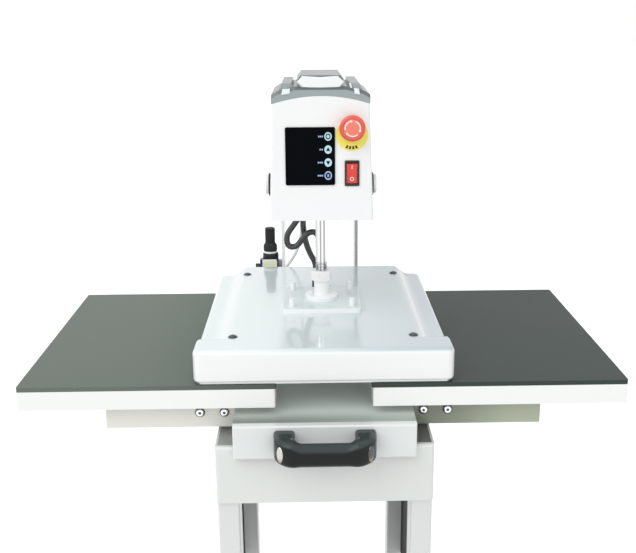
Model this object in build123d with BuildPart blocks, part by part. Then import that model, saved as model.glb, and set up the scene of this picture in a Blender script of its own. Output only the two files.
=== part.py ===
from build123d import *
import os
from math import acos, cos, radians, sin, tan

os.makedirs("parts", exist_ok=True)

# Double-station pneumatic heat press on a floor stand, in millimetres.
# X runs to the operator's right, Y to the back, Z up from the floor.
# The heat platen hangs over x = 0, y = 0.

# Driving heights
work_height = 880.0  # floor to the top face of the silicone pads
press_lift = 45.0  # how far the heat platen rises
platen_gap = 0.5  # heat platen over the pads when it is let down

# Tables: two trays, each with a silicone pad
table_width = 401.0
table_depth = 500.0
table_gap = 153.0
pad_thickness = 7.4
pad_overhang = 2.0
pad_corner = 4.0
tray_height = 31.0
tray_wall = 3.0
tray_corner = 3.0
tray_rib_gap = 44.0

# Sliding carriage that carries the tables
arm_web = 16.0
arm_wall = 3.0
arm_reach = 72.5
arm_gap = 1.5
beam_width = 50.0
beam_height = 11.0
beam_inset = 63.0
member_width = 16.0
member_inset = 1.0
weld_gap = 0.2
deck_width = 284.0
deck_thickness = 2.0
deck_inset = 35.0
apron_ahead = 40.0
apron_depth = 13.0
apron_drop = 55.5
apron_wall = 2.0
apron_radius = 3.0
boss_radius = 10.0

# Linear guides: the rails ride with the carriage, the blocks stay on the base
rail_width = 15.0
rail_height = 15.0
rail_end_gap = 3.0
rail_notch = 2.5
rail_clearance = 0.2
block_width = 34.0
block_length = 60.0
block_pitch = 63.0
block_height = 23.7
block_throat = 4.3
buffer_width = 40.0
buffer_height = 25.0
buffer_slot = 1.5
stop_clearance = 0.3

# Fasteners
arm_bolt_radius = 4.0
arm_bolt_head_radius = 6.5
arm_bolt_head_height = 4.5
arm_bolt_depth = 18.0
arm_bolt_near = 160.0
arm_bolt_far = 199.0
thread_clearance = 0.1

# Handle
handle_width = 158.0
handle_post = 33.0
handle_reach = 55.0
handle_grip = 28.0
handle_top_drop = 59.0
handle_height = 39.5
handle_corner = 18.0
handle_edge = 8.0
handle_waist = 3.5

# Base box
base_width = 343.0
base_ahead = 25.0
base_behind = 90.0
base_height = 97.0
base_plate = 3.0
base_wall = 2.5
base_corner = 5.0
base_rim = 3.5
base_front_rim = 8.0
plate_clearance = 0.2
support_width = 60.0
support_wall = 3.0
side_bolt_radius = 2.2
side_bolt_head = 5.5
side_bolt_inset = 53.0
side_bolt_drop = 58.0
side_bolt_pitch = 11.0

# Floor stand
leg_width = 34.0
leg_depth = 50.0
leg_inset = 1.0
leg_front_inset = 30.0
leg_rear_inset = 160.0
brace_thickness = 3.0
brace_height = 360.0
brace_inset = 2.0
tube_wall = 2.5
tube_corner = 3.0
floor_tube = 40.0
floor_width = 660.0
foot_gap = 30.0
foot_inset = 30.0
foot_radius = 24.0
foot_pad = 11.0
foot_stem_radius = 6.0
foot_nut_radius = 9.5
foot_nut_height = 8.0

# Column plates behind the platen
column_inner_x = 72.5
column_plate = 6.0
column_behind = 22.0
column_depth = 64.0
column_top = 335.0
column_arm_bottom = 250.0
column_arm_front = -20.0
column_foot_width = 44.0
column_foot_height = 8.0

# Head casing, measured up from the pads
head_bottom = 226.0
head_shoulder = 416.0
head_crown = 428.5
head_half_bottom = 85.5
head_half_top = 78.7
head_front = 95.0
head_split = 115.0
head_behind = 95.0
head_rear_top = 398.0
head_rear_half_top = 79.3
head_wall = 2.5
head_edge = 4.0
louvre_count = 7
louvre_pitch = 14.0
louvre_width = 90.0
louvre_height = 5.0
rod_hole_radius = 17.0

# Cap on the head
cap_gap = 0.2
cap_front = 93.0
cap_rear = 95.0
cap_half = 79.5
cap_edge_top = 430.0
cap_band_half = 70.0
cap_band_top = 436.0
cap_saddle_half = 41.0
cap_saddle_top = 443.0
ridge_foot_half = 31.0
ridge_waist_half = 39.0
ridge_waist_rise = 8.0
ridge_top_half = 32.0
ridge_rise = 17.0
ridge_sink = 2.0
hump_outer = 68.5
hump_outer_top = 62.0
hump_inner_top = 47.0
hump_inner = 43.0
hump_rise = 12.0
hump_setback = 4.0

# Pneumatic cylinder in the head
cylinder_bore = 80.0
barrel_wall = 5.0
barrel_length = 84.0
cap_block = 98.0
base_block_height = 38.0
base_block_width = 120.0
base_block_depth = 104.0
base_block_wing = 4.0
top_block_height = 22.0
piston_thickness = 20.0
piston_rest_gap = 3.0
piston_clearance = 0.05
rod_radius = 10.0
rod_clearance = 0.05
rod_thread_radius = 8.0
rod_thread_height = 8.0

# Coupling between the rod and the platen
nut_across_flats = 36.0
nut_height = 19.0
nut_bottom = 97.0
collar_radius = 13.5
disc_radius = 29.0
disc_height = 8.0
flange_side = 136.0
flange_height = 8.0
flange_corner = 6.0
stud_pitch = 104.0
stud_radius = 5.0
stud_head_radius = 7.5
stud_head_height = 7.0
stud_top = 14.0
stud_depth = 62.0
fit_clearance = 0.1

# Heat platen under its cover
cover_over_x = 6.0
cover_over_y = 2.0
cover_bottom = 5.0
cover_shelf = 40.0
cover_top = 57.0
cover_wall = 2.5
cover_corner = 12.0
cover_edge = 7.0
plateau_margin = 35.0
front_block_depth = 62.0
plateau_blend = 10.0
plateau_inset = 1.0
plate_margin = 1.5
plate_thickness = 20.0
insulation_margin = 10.0
insulation_thickness = 15.0
element_radius = 4.0
element_clearance = 0.3
element_side_gap = 18.5
element_runs = 6
element_margin = 56.0
element_turn_gap = 1.0
cover_screw_inset_x = 58.5
cover_screw_inset_y = 64.0
cover_screw_radius = 2.5
cover_screw_head = 6.0
cover_screw_head_height = 3.0
cover_screw_length = 48.0
gland_radius = 9.0
gland_height = 14.0
gland_dome = 3.0

# Controls on the head's front, measured up from the pads
display_width = 80.5
display_height = 94.0
display_x = -17.8
display_z = 332.5
display_thickness = 2.0
display_corner = 3.0
display_window = 5.0
board_thickness = 2.0
board_gap = 4.0
estop_x = 50.0
estop_z = 379.0
estop_label_radius = 26.0
estop_label_drop = 12.0
estop_label_thickness = 1.5
estop_barrel_radius = 11.0
estop_collar_radius = 15.5
estop_collar_height = 7.0
estop_block = 30.0
estop_block_depth = 34.0
estop_stem_radius = 4.0
estop_stem_length = 34.0
estop_button_radius = 21.0
estop_button_height = 16.0
estop_travel = 5.0
estop_socket = 7.0
rocker_x = 50.0
rocker_z = 304.5
rocker_bezel_width = 24.0
rocker_bezel_height = 42.0
rocker_bezel_rim = 2.0
rocker_window_width = 18.0
rocker_window_height = 35.0
rocker_depth = 26.0
rocker_tilt = 9.0
rocker_side_gap = 0.3
rocker_pin_radius = 2.0
rocker_pin_length = 1.5
rocker_pivot_depth = 5.0
start_y = -42.0
start_z = 278.0
start_ring_radius = 19.5
start_ring_seat = 84.6
start_ring_height = 3.5
start_cap_radius = 16.0
start_cap_out = 8.8
start_cap_depth = 7.0
start_barrel_radius = 18.2
start_barrel_depth = 22.0
start_travel = 3.0
start_clearance = 0.05

# Electrics and air inside the head
valve_length = 60.0
valve_width = 26.0
valve_height = 22.0
valve_coil = 20.0

# Filter-regulator behind the left table
regulator_x = -103.5
regulator_behind = 50.0
regulator_side = 33.0
regulator_bottom = 15.0
regulator_top = 63.0
collar_band_radius = 14.3
collar_band_top = 73.0
neck_radius = 8.0
neck_top = 84.0
nut_ring_radius = 12.5
nut_ring_top = 77.5
knob_radius = 10.3
knob_ring_radius = 13.7
knob_bottom = 78.0
knob_ring_top = 94.0
knob_top = 127.0
bowl_radius = 15.0
bowl_length = 58.0
bowl_wall = 2.5
gauge_radius = 14.0
gauge_depth = 11.0
gauge_z = 38.0
fitting_radius = 6.0
fitting_length = 15.0
tube_bore_radius = 4.0
tube_bore_depth = 12.0
fitting_z = 44.0

# Flexible lines between the head, the platen and the regulator
conduit_radius = 5.5
tube_radius = 3.0
bend_share = 0.45
gland_a = (5.0, 80.0)
gland_b = (-8.0, 99.0)

# Mains socket on the back of the base
inlet_inset = 74.5
inlet_drop = 50.0
inlet_flange_width = 50.0
inlet_flange_height = 31.0
inlet_flange_depth = 3.0
inlet_body_width = 28.0
inlet_body_height = 22.0
inlet_body_depth = 20.0
inlet_recess_width = 24.0
inlet_recess_height = 17.0
inlet_recess_depth = 17.0

# Heights that follow from the driving sizes
pad_top = work_height
tray_top = pad_top - pad_thickness
tray_bottom = tray_top - tray_height
beam_top = tray_bottom - arm_web
beam_bottom = beam_top - beam_height
rail_bottom = beam_bottom - rail_height
block_top = beam_bottom - block_throat
base_top = block_top - block_height
base_under_plate = base_top - base_plate
base_bottom = base_top - base_height
deck_top = beam_top + deck_thickness
floor_tube_top = foot_gap + floor_tube
arm_bottom = rail_bottom - 5.0

# Places that follow from the driving sizes
table_pitch = table_width + table_gap
travel = table_pitch / 2
half_depth = table_depth / 2
arm_outer_x = travel + arm_reach
beam_y = half_depth - beam_inset
deck_rear = half_depth - deck_inset
apron_front = half_depth + apron_ahead
base_front = half_depth + base_ahead
base_rear = half_depth + base_behind
leg_front_y = -(base_front - leg_front_inset)
leg_rear_y = base_rear - leg_rear_inset
side_bolt_y = -(base_front - side_bolt_inset)
column_front = half_depth + column_behind
column_rear = column_front + column_depth
head_rear = half_depth + head_behind
cover_width = table_width + cover_over_x
cover_depth = table_depth + cover_over_y
plateau_half = cover_width / 2 - plateau_margin
cover_screw_x = cover_width / 2 - cover_screw_inset_x
cover_screw_y = cover_depth / 2 - cover_screw_inset_y
element_reach = cover_depth / 2 - element_margin
element_pitch = 2 * (cover_screw_x - element_side_gap) / (element_runs - 1)
element_turn = element_pitch / 2 - element_turn_gap
regulator_y = half_depth + regulator_behind
inlet_x = base_width / 2 - inlet_inset
arm_inner_x = deck_width / 2 + arm_gap
arm_width = beam_width + 2 * arm_wall
arm_end_face = arm_outer_x - arm_wall
rail_half = arm_end_face - rail_end_gap
block_end = block_pitch / 2 + block_length / 2
buffer_outer = arm_end_face - travel - stop_clearance
leg_x = base_width / 2 - leg_inset - leg_width / 2
column_outer_x = column_inner_x + column_plate


def up(height):
    """Height above the floor of a height given from the pads."""
    return pad_top + height


def head_half(height):
    """Half width of the head casing at a height above the pads."""
    share = (height - head_bottom) / (head_shoulder - head_bottom)
    return head_half_bottom + (head_half_top - head_half_bottom) * share


# Trays: folded pans with ribs underneath that lie on the arms
for side, sign in (("left", -1), ("right", 1)):
    with BuildPart() as tray:
        with BuildSketch(Plane.XY.offset(tray_bottom)):
            with Locations((sign * travel, 0)):
                RectangleRounded(table_width, table_depth, tray_corner)
        extrude(amount=tray_height)
        with BuildSketch(Plane.XY.offset(tray_bottom)):
            with Locations((sign * travel, 0)):
                Rectangle(table_width - 2 * tray_wall, table_depth - 2 * tray_wall)
        extrude(amount=tray_height - tray_wall, mode=Mode.SUBTRACT)
        with BuildSketch(Plane.XY.offset(tray_bottom)):
            with Locations((sign * travel, -beam_y), (sign * travel, beam_y)):
                with GridLocations(1, tray_rib_gap, 1, 2):
                    Rectangle(table_width - tray_wall, tray_wall)
        extrude(amount=tray_height - tray_wall)
    tray.part.label = f"tray_{side}"
    export_step(tray.part, f"parts/tray_{side}.step")

# Silicone pads, a little wider than the trays on the inner side
with BuildPart() as silicone_pads:
    for sign in (-1, 1):
        with BuildSketch(Plane.XY.offset(tray_top)):
            with Locations((sign * (travel - pad_overhang / 2), 0)):
                RectangleRounded(table_width + pad_overhang, table_depth, pad_corner)
        extrude(amount=pad_thickness)
silicone_pads.part.label = "silicone_pads"
export_step(silicone_pads.part, "parts/silicone_pads.step")

# Arms under the trays: channels open below, closed at the outer end
with BuildPart() as table_arms:
    arm_length = arm_outer_x - arm_inner_x
    arm_height = tray_bottom - arm_bottom
    with Locations(((arm_inner_x + arm_outer_x) / 2, beam_y, (tray_bottom + arm_bottom) / 2)):
        Box(arm_length, arm_width, arm_height)
    with Locations(((arm_inner_x + arm_end_face) / 2, beam_y, (beam_top + arm_bottom) / 2)):
        Box(arm_end_face - arm_inner_x, beam_width, beam_top - arm_bottom, mode=Mode.SUBTRACT)
    arm_face = Plane.XZ.offset(-(beam_y + arm_width / 2 - arm_wall))
    with BuildSketch(arm_face):
        with Locations((arm_bolt_near, beam_top - beam_height / 2), (arm_bolt_far, beam_top - beam_height / 2)):
            Circle(arm_bolt_radius + thread_clearance)
    extrude(amount=-arm_wall, mode=Mode.SUBTRACT)
    mirror(about=Plane.YZ)
    mirror(about=Plane.XZ)
table_arms.part.label = "table_arms"
export_step(table_arms.part, "parts/table_arms.step")

# Carriage frame: two long beams, joined by members that stop short by a weld gap
with BuildPart() as carriage_frame:
    beam_middle = beam_top - beam_height / 2
    with Locations((0, beam_y, beam_middle)):
        Box(2 * arm_end_face, beam_width, beam_height)
    bolt_reach = arm_bolt_depth - arm_wall
    with BuildSketch(Plane.XZ.offset(-(beam_y + beam_width / 2))):
        with GridLocations(2 * arm_bolt_near, 1, 2, 1):
            with Locations((0, beam_middle)):
                Circle(arm_bolt_radius + thread_clearance)
        with GridLocations(2 * arm_bolt_far, 1, 2, 1):
            with Locations((0, beam_middle)):
                Circle(arm_bolt_radius + thread_clearance)
    extrude(amount=bolt_reach, mode=Mode.SUBTRACT)
    mirror(about=Plane.XZ)
    member_x = deck_width / 2 - member_inset - member_width / 2
    inner_span = 2 * (beam_y - beam_width / 2) - 2 * weld_gap
    front_near = beam_y + beam_width / 2 + weld_gap
    front_far = apron_front - apron_depth
    with GridLocations(2 * member_x, 1, 2, 1):
        with Locations((0, 0, beam_middle)):
            Box(member_width, inner_span, beam_height)
        with Locations((0, -(front_near + front_far) / 2, beam_middle)):
            Box(member_width, front_far - front_near, beam_height)
carriage_frame.part.label = "carriage_frame"
export_step(carriage_frame.part, "parts/carriage_frame.step")

# Deck sheet over the frame
with BuildPart() as carriage_deck:
    deck_front = apron_front - apron_depth
    with BuildSketch(Plane.XY.offset(beam_top)):
        with Locations((0, (deck_rear - deck_front) / 2)):
            Rectangle(deck_width, deck_rear + deck_front)
    extrude(amount=deck_thickness)
carriage_deck.part.label = "carriage_deck"
export_step(carriage_deck.part, "parts/carriage_deck.step")

# Apron: the box that hangs in front of the base and carries the handle
with BuildPart() as carriage_apron:
    apron_middle = -(apron_front - apron_depth / 2)
    with Locations((0, apron_middle, deck_top - apron_drop / 2)):
        Box(deck_width, apron_depth, apron_drop)
    front_face = carriage_apron.faces().sort_by(Axis.Y)[0]
    fillet(front_face.edges(), apron_radius)
    with Locations((0, apron_middle + apron_wall / 2, deck_top - deck_thickness - apron_drop / 2)):
        Box(deck_width - 2 * apron_wall, apron_depth - apron_wall, apron_drop, mode=Mode.SUBTRACT)
    boss_x = handle_width / 2 - handle_post / 2
    boss_z = up(-handle_top_drop) - handle_height / 2
    with BuildSketch(Plane.XZ.offset(apron_front - apron_depth + 1.0)):
        with GridLocations(2 * boss_x, 1, 2, 1):
            with Locations((0, boss_z)):
                Circle(boss_radius)
    extrude(amount=apron_depth - apron_wall - 1.0)
carriage_apron.part.label = "carriage_apron"
export_step(carriage_apron.part, "parts/carriage_apron.step")

# Guide rails under the beams
with BuildPart() as guide_rails:
    rail_side = rail_width / 2
    groove = rail_height / 2
    for sign in (-1, 1):
        with BuildSketch(Plane.YZ.offset(-rail_half)):
            with BuildLine():
                Polyline(
                    (sign * beam_y - rail_side, beam_bottom),
                    (sign * beam_y + rail_side, beam_bottom),
                    (sign * beam_y + rail_side, beam_bottom - groove),
                    (sign * beam_y + rail_side - rail_notch, beam_bottom - groove - rail_notch),
                    (sign * beam_y + rail_side - rail_notch, rail_bottom + rail_notch),
                    (sign * beam_y + rail_side, rail_bottom),
                    (sign * beam_y - rail_side, rail_bottom),
                    (sign * beam_y - rail_side + rail_notch, rail_bottom + rail_notch),
                    (sign * beam_y - rail_side + rail_notch, beam_bottom - groove - rail_notch),
                    (sign * beam_y - rail_side, beam_bottom - groove),
                    close=True,
                )
            make_face()
        extrude(amount=2 * rail_half)
guide_rails.part.label = "guide_rails"
export_step(guide_rails.part, "parts/guide_rails.step")

# Bearing blocks on the base, open at the top for the rails
with BuildPart() as bearing_blocks:
    with BuildSketch(Plane.XY.offset(base_top)):
        with GridLocations(block_pitch, 2 * beam_y, 2, 2):
            Rectangle(block_length, block_width)
    extrude(amount=block_height)
    chamfer(bearing_blocks.edges().filter_by(Axis.X).group_by(Axis.Z)[-1], 1.5)
    slot_width = rail_width + 2 * rail_clearance
    slot_bottom = rail_bottom - rail_clearance
    with BuildSketch(Plane.XY.offset(slot_bottom)):
        with GridLocations(1, 2 * beam_y, 1, 2):
            Rectangle(2 * block_end + 1.0, slot_width)
    extrude(amount=block_top - slot_bottom + 1.0, mode=Mode.SUBTRACT)
bearing_blocks.part.label = "bearing_blocks"
export_step(bearing_blocks.part, "parts/bearing_blocks.step")

# Rubber stops beside the blocks, slotted for the rails
with BuildPart() as stop_buffers:
    buffer_near = block_end + weld_gap
    buffer_length = buffer_outer - buffer_near
    with BuildSketch(Plane.XY.offset(base_top)):
        with GridLocations(buffer_near + buffer_outer, 2 * beam_y, 2, 2):
            Rectangle(buffer_length, buffer_width)
    extrude(amount=buffer_height)
    buffer_cut = rail_bottom - buffer_slot
    with BuildSketch(Plane.XY.offset(buffer_cut)):
        with GridLocations(buffer_near + buffer_outer, 2 * beam_y, 2, 2):
            Rectangle(buffer_length + 1.0, rail_width + 2 * buffer_slot)
    extrude(amount=base_top + buffer_height - buffer_cut + 1.0, mode=Mode.SUBTRACT)
stop_buffers.part.label = "stop_buffers"
export_step(stop_buffers.part, "parts/stop_buffers.step")

# Button-head bolts that hold the arms to the beams
with BuildPart() as arm_bolts:
    for bolt_x in (arm_bolt_near, arm_bolt_far):
        bolt_plane = Plane.XZ.offset(-(beam_y + arm_width / 2))
        with BuildSketch(bolt_plane):
            with Locations((bolt_x, beam_top - beam_height / 2)):
                Circle(arm_bolt_radius)
        extrude(amount=arm_bolt_depth - 0.5)
        with BuildSketch(bolt_plane):
            with Locations((bolt_x, beam_top - beam_height / 2)):
                Circle(arm_bolt_head_radius)
        extrude(amount=-arm_bolt_head_height)
    head_rims = arm_bolts.faces().sort_by(Axis.Y)[-2:].edges()
    fillet(head_rims, arm_bolt_head_height * 0.6)
    with BuildSketch(Plane.XZ.offset(-(beam_y + arm_width / 2 + arm_bolt_head_height))):
        for bolt_x in (arm_bolt_near, arm_bolt_far):
            with Locations((bolt_x, beam_top - beam_height / 2)):
                RegularPolygon(arm_bolt_head_radius * 0.4, 6)
    extrude(amount=arm_bolt_head_height * 0.6, mode=Mode.SUBTRACT)
    mirror(about=Plane.YZ)
    mirror(about=Plane.XZ)
arm_bolts.part.label = "arm_bolts"
export_step(arm_bolts.part, "parts/arm_bolts.step")

# Handle: a bridge with two posts on the apron
with BuildPart() as handle:
    handle_top = up(-handle_top_drop)
    handle_outer = apron_front + handle_reach
    with BuildSketch(Plane.XY.offset(handle_top - handle_height)):
        with Locations((0, -apron_front - handle_reach / 2)):
            Rectangle(handle_width, handle_reach)
    extrude(amount=handle_height)
    outer_corners = handle.edges().filter_by(Axis.Z).group_by(Axis.Y)[0]
    fillet(outer_corners, handle_corner)
    with BuildSketch(Plane.XY.offset(handle_top - handle_height)):
        with Locations((0, -apron_front - (handle_reach - handle_grip) / 2)):
            Rectangle(handle_width - 2 * handle_post, handle_reach - handle_grip)
    extrude(amount=handle_height, mode=Mode.SUBTRACT)
    inner_corners = handle.edges().filter_by(Axis.Z).filter_by_position(
        Axis.Y, -handle_outer + handle_grip - 1, -handle_outer + handle_grip + 1
    )
    fillet(inner_corners, handle_edge)
    rims = handle.faces().filter_by(Axis.Z).edges().filter_by_position(
        Axis.Y, -handle_outer - 1, -apron_front - 0.5
    )
    fillet(rims, handle_edge)
handle.part.label = "handle"
export_step(handle.part, "parts/handle.step")

# Base shell: a folded box with a bottom, open on top for the plate
base_depth = base_front + base_rear
base_middle_y = (base_rear - base_front) / 2
inlet_z = base_top - inlet_drop
with BuildPart() as base_shell:
    with Locations((0, base_middle_y, base_top - base_height / 2)):
        Box(base_width, base_depth, base_height)
    upright_edges = base_shell.edges().filter_by(Axis.Z)
    front_edge = base_shell.edges().filter_by(Axis.X).group_by(Axis.Z)[-1].sort_by(Axis.Y)[0]
    fillet([front_edge] + list(upright_edges), base_corner)
    shell_floor = base_bottom + base_plate
    shell_roof = base_top - base_front_rim
    with Locations((0, base_middle_y, (shell_floor + shell_roof) / 2)):
        Box(base_width - 2 * base_wall, base_depth - 2 * base_wall, shell_roof - shell_floor, mode=Mode.SUBTRACT)
    opening_front = base_front - base_front_rim
    opening_rear = base_rear - base_rim
    with Locations((0, (opening_rear - opening_front) / 2, base_top - base_front_rim / 2)):
        Box(base_width - 2 * base_rim, opening_front + opening_rear, base_front_rim, mode=Mode.SUBTRACT)
    with Locations((inlet_x, base_rear - base_wall / 2, inlet_z)):
        Box(inlet_body_width + 1.0, base_wall, inlet_body_height + 1.0, mode=Mode.SUBTRACT)
base_shell.part.label = "base_shell"
export_step(base_shell.part, "parts/base_shell.step")

# Plate that closes the base and carries the bearing blocks
with BuildPart() as base_top_plate:
    plate_depth = opening_front + opening_rear - 2 * plate_clearance
    with Locations((0, (opening_rear - opening_front) / 2, base_top - base_plate / 2)):
        Box(base_width - 2 * base_rim - 2 * plate_clearance, plate_depth, base_plate)
base_top_plate.part.label = "base_top_plate"
export_step(base_top_plate.part, "parts/base_top_plate.step")

# Hollow supports under the bearing lines, and dark side plates between the legs
with BuildPart() as base_supports:
    support_height = base_under_plate - shell_floor
    support_length = base_width - 2 * base_rim - 2 * plate_clearance
    column_support_y = column_front + 15.0
    support_z = (base_under_plate + shell_floor) / 2
    with Locations((0, -beam_y, support_z), (0, beam_y, support_z), (0, column_support_y, support_z)):
        Box(support_length, support_width, support_height)
    with Locations((0, -beam_y, support_z), (0, beam_y, support_z), (0, column_support_y, support_z)):
        Box(support_length, support_width - 2 * support_wall, support_height - 2 * support_wall, mode=Mode.SUBTRACT)
    brace_x = leg_x + leg_width / 2 - brace_inset - brace_thickness / 2
    brace_y = (leg_front_y + leg_rear_y) / 2
    brace_z = base_bottom - weld_gap - brace_height / 2
    with Locations((-brace_x, brace_y, brace_z), (brace_x, brace_y, brace_z)):
        Box(brace_thickness, leg_rear_y - leg_front_y - leg_depth - 2 * weld_gap, brace_height)
base_supports.part.label = "base_supports"
export_step(base_supports.part, "parts/base_supports.step")

# Two small screws in the left wall of the base
with BuildPart() as side_screws:
    screw_z = base_top - side_bolt_drop
    with BuildSketch(Plane.YZ.offset(-base_width / 2)):
        with Locations((side_bolt_y, screw_z), (side_bolt_y, screw_z - side_bolt_pitch)):
            Circle(side_bolt_radius)
    extrude(amount=-side_bolt_head)
side_screws.part.label = "side_screws"
export_step(side_screws.part, "parts/side_screws.step")

# Legs: four upright tubes between the floor frame and the base
with BuildPart() as stand_legs:
    leg_spots = [(x, y) for x in (-leg_x, leg_x) for y in (leg_front_y, leg_rear_y)]
    with BuildSketch(Plane.XY.offset(floor_tube_top)):
        with Locations(*leg_spots):
            RectangleRounded(leg_width, leg_depth, tube_corner)
        with Locations(*leg_spots):
            Rectangle(leg_width - 2 * tube_wall, leg_depth - 2 * tube_wall, mode=Mode.SUBTRACT)
    extrude(amount=base_bottom - floor_tube_top)
stand_legs.part.label = "stand_legs"
export_step(stand_legs.part, "parts/stand_legs.step")

# Floor frame: two long tubes across, joined by two rails
with BuildPart() as floor_frame:
    frame_z = floor_tube_top - floor_tube / 2
    rail_span = leg_rear_y - leg_front_y - leg_depth
    rail_y = (leg_front_y + leg_rear_y) / 2
    with Locations((0, leg_front_y, frame_z), (0, leg_rear_y, frame_z)):
        Box(floor_width, leg_depth, floor_tube)
    fillet(floor_frame.edges().filter_by(Axis.X), tube_corner)
    with Locations((-leg_x, rail_y, frame_z), (leg_x, rail_y, frame_z)):
        Box(leg_width, rail_span, floor_tube - 2 * tube_corner)
    with Locations((0, leg_front_y, frame_z), (0, leg_rear_y, frame_z)):
        Box(floor_width, leg_depth - 2 * tube_wall, floor_tube - 2 * tube_wall, mode=Mode.SUBTRACT)
    with Locations((-leg_x, rail_y, frame_z), (leg_x, rail_y, frame_z)):
        Box(leg_width - 2 * tube_wall, rail_span, floor_tube - 2 * tube_corner - 2 * tube_wall, mode=Mode.SUBTRACT)
    foot_x = floor_width / 2 - foot_inset
    foot_spots = [(x, y) for x in (-foot_x, foot_x) for y in (leg_front_y, leg_rear_y)]
    with BuildSketch(Plane.XY.offset(foot_gap)):
        with Locations(*foot_spots):
            Circle(foot_stem_radius + thread_clearance)
    extrude(amount=tube_wall, mode=Mode.SUBTRACT)
floor_frame.part.label = "floor_frame"
export_step(floor_frame.part, "parts/floor_frame.step")

# Plastic plugs in the open ends of the floor tubes
with BuildPart() as tube_plugs:
    plug_depth = 12.0
    for sign in (-1, 1):
        with Locations(
            (sign * (floor_width / 2 - plug_depth / 2), leg_front_y, frame_z),
            (sign * (floor_width / 2 - plug_depth / 2), leg_rear_y, frame_z),
        ):
            Box(plug_depth, leg_depth - 2 * tube_wall, floor_tube - 2 * tube_wall)
        with Locations(
            (sign * (floor_width / 2 + tube_wall / 2), leg_front_y, frame_z),
            (sign * (floor_width / 2 + tube_wall / 2), leg_rear_y, frame_z),
        ):
            Box(tube_wall, leg_depth, floor_tube)
tube_plugs.part.label = "tube_plugs"
export_step(tube_plugs.part, "parts/tube_plugs.step")

# Levelling feet: pad, stem and lock nut in one node
with BuildPart() as levelling_feet:
    with BuildSketch(Plane.XY):
        with Locations(*foot_spots):
            Circle(foot_radius)
    extrude(amount=foot_pad)
    fillet(levelling_feet.faces().filter_by(Axis.Z).group_by(Axis.Z)[-1].edges(), 3.0)
    with BuildSketch(Plane.XY.offset(foot_pad)):
        with Locations(*foot_spots):
            Circle(foot_stem_radius)
    extrude(amount=foot_gap + tube_wall * 5 - foot_pad)
    with BuildSketch(Plane.XY.offset(foot_gap - foot_nut_height)):
        with Locations(*foot_spots):
            RegularPolygon(foot_nut_radius, 6)
    extrude(amount=foot_nut_height)
levelling_feet.part.label = "levelling_feet"
export_step(levelling_feet.part, "parts/levelling_feet.step")

# Column: two upright plates that run forward as arms inside the head
with BuildPart() as column_plates:
    with BuildSketch(Plane.YZ.offset(column_inner_x)):
        with BuildLine():
            Polyline(
                (column_front, base_top),
                (column_rear, base_top),
                (column_rear, up(column_top)),
                (column_arm_front, up(column_top)),
                (column_arm_front, up(column_arm_bottom)),
                (column_front, up(column_arm_bottom)),
                close=True,
            )
        make_face()
    extrude(amount=column_plate)
    foot_middle = column_inner_x + column_foot_width / 2
    with Locations((foot_middle, (column_front + column_rear) / 2, base_top + column_foot_height / 2)):
        Box(column_foot_width, column_rear - column_front, column_foot_height)
    mirror(about=Plane.YZ)
column_plates.part.label = "column_plates"
export_step(column_plates.part, "parts/column_plates.step")

# Head casing: front, sides, roof and floor, with the holes for the controls
start_wall = start_ring_seat - start_barrel_depth
with BuildPart() as head_casing:
    with BuildSketch(Plane.XZ.offset(head_front)):
        with BuildLine():
            Polyline(
                (-head_half_top, up(head_shoulder)),
                (-head_half_bottom, up(head_bottom)),
                (head_half_bottom, up(head_bottom)),
                (head_half_top, up(head_shoulder)),
            )
            ThreePointArc(
                (head_half_top, up(head_shoulder)),
                (0, up(head_crown)),
                (-head_half_top, up(head_shoulder)),
            )
        make_face()
    extrude(amount=-(head_front + head_split))
    front_rim = head_casing.faces().sort_by(Axis.Y)[0].edges().filter_by_position(
        Axis.Z, up(head_bottom + 10.0), up(head_shoulder - 10.0)
    )
    fillet(front_rim, head_edge)
    with BuildSketch(Plane.XZ.offset(head_front - head_wall)):
        with BuildLine():
            Polyline(
                (-head_half_top + head_wall, up(head_shoulder - head_wall)),
                (-head_half_bottom + head_wall, up(head_bottom + head_wall)),
                (head_half_bottom - head_wall, up(head_bottom + head_wall)),
                (head_half_top - head_wall, up(head_shoulder - head_wall)),
            )
            ThreePointArc(
                (head_half_top - head_wall, up(head_shoulder - head_wall)),
                (0, up(head_crown - head_wall)),
                (-head_half_top + head_wall, up(head_shoulder - head_wall)),
            )
        make_face()
    extrude(amount=-(head_front + head_split - 2 * head_wall), mode=Mode.SUBTRACT)
    rear_open = head_half(head_rear_top) - 2 * head_wall
    with Locations((0, head_split - head_wall / 2, up((head_bottom + head_rear_top) / 2))):
        Box(2 * rear_open, head_wall, head_rear_top - head_bottom - 2 * head_wall, mode=Mode.SUBTRACT)
    arm_space = column_top + 3.0 - head_bottom - head_wall
    with Locations((0, head_split - head_wall / 2, up(head_bottom + head_wall) + arm_space / 2)):
        Box(2 * (column_outer_x + 0.5), head_wall, arm_space, mode=Mode.SUBTRACT)
    with BuildSketch(Plane.XZ.offset(head_front)):
        with Locations((display_x, up(display_z))):
            Rectangle(display_width - 2 * display_window, display_height - 2 * display_window)
        with Locations((estop_x, up(estop_z))):
            Circle(estop_barrel_radius + fit_clearance)
        with Locations((rocker_x, up(rocker_z))):
            Rectangle(rocker_window_width + 3.2, rocker_window_height + 2.2)
    extrude(amount=-head_wall, mode=Mode.SUBTRACT)
    with BuildSketch(Plane.YZ.offset(-head_half_bottom - 1.0)):
        with Locations((start_y, up(start_z))):
            Circle(start_barrel_radius + fit_clearance)
    extrude(amount=2 * head_half_bottom + 2.0, mode=Mode.SUBTRACT)
    with BuildSketch(Plane.XY.offset(up(head_bottom))):
        Circle(rod_hole_radius)
    extrude(amount=head_wall, mode=Mode.SUBTRACT)
head_casing.part.label = "head_casing"
export_step(head_casing.part, "parts/head_casing.step")

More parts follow.
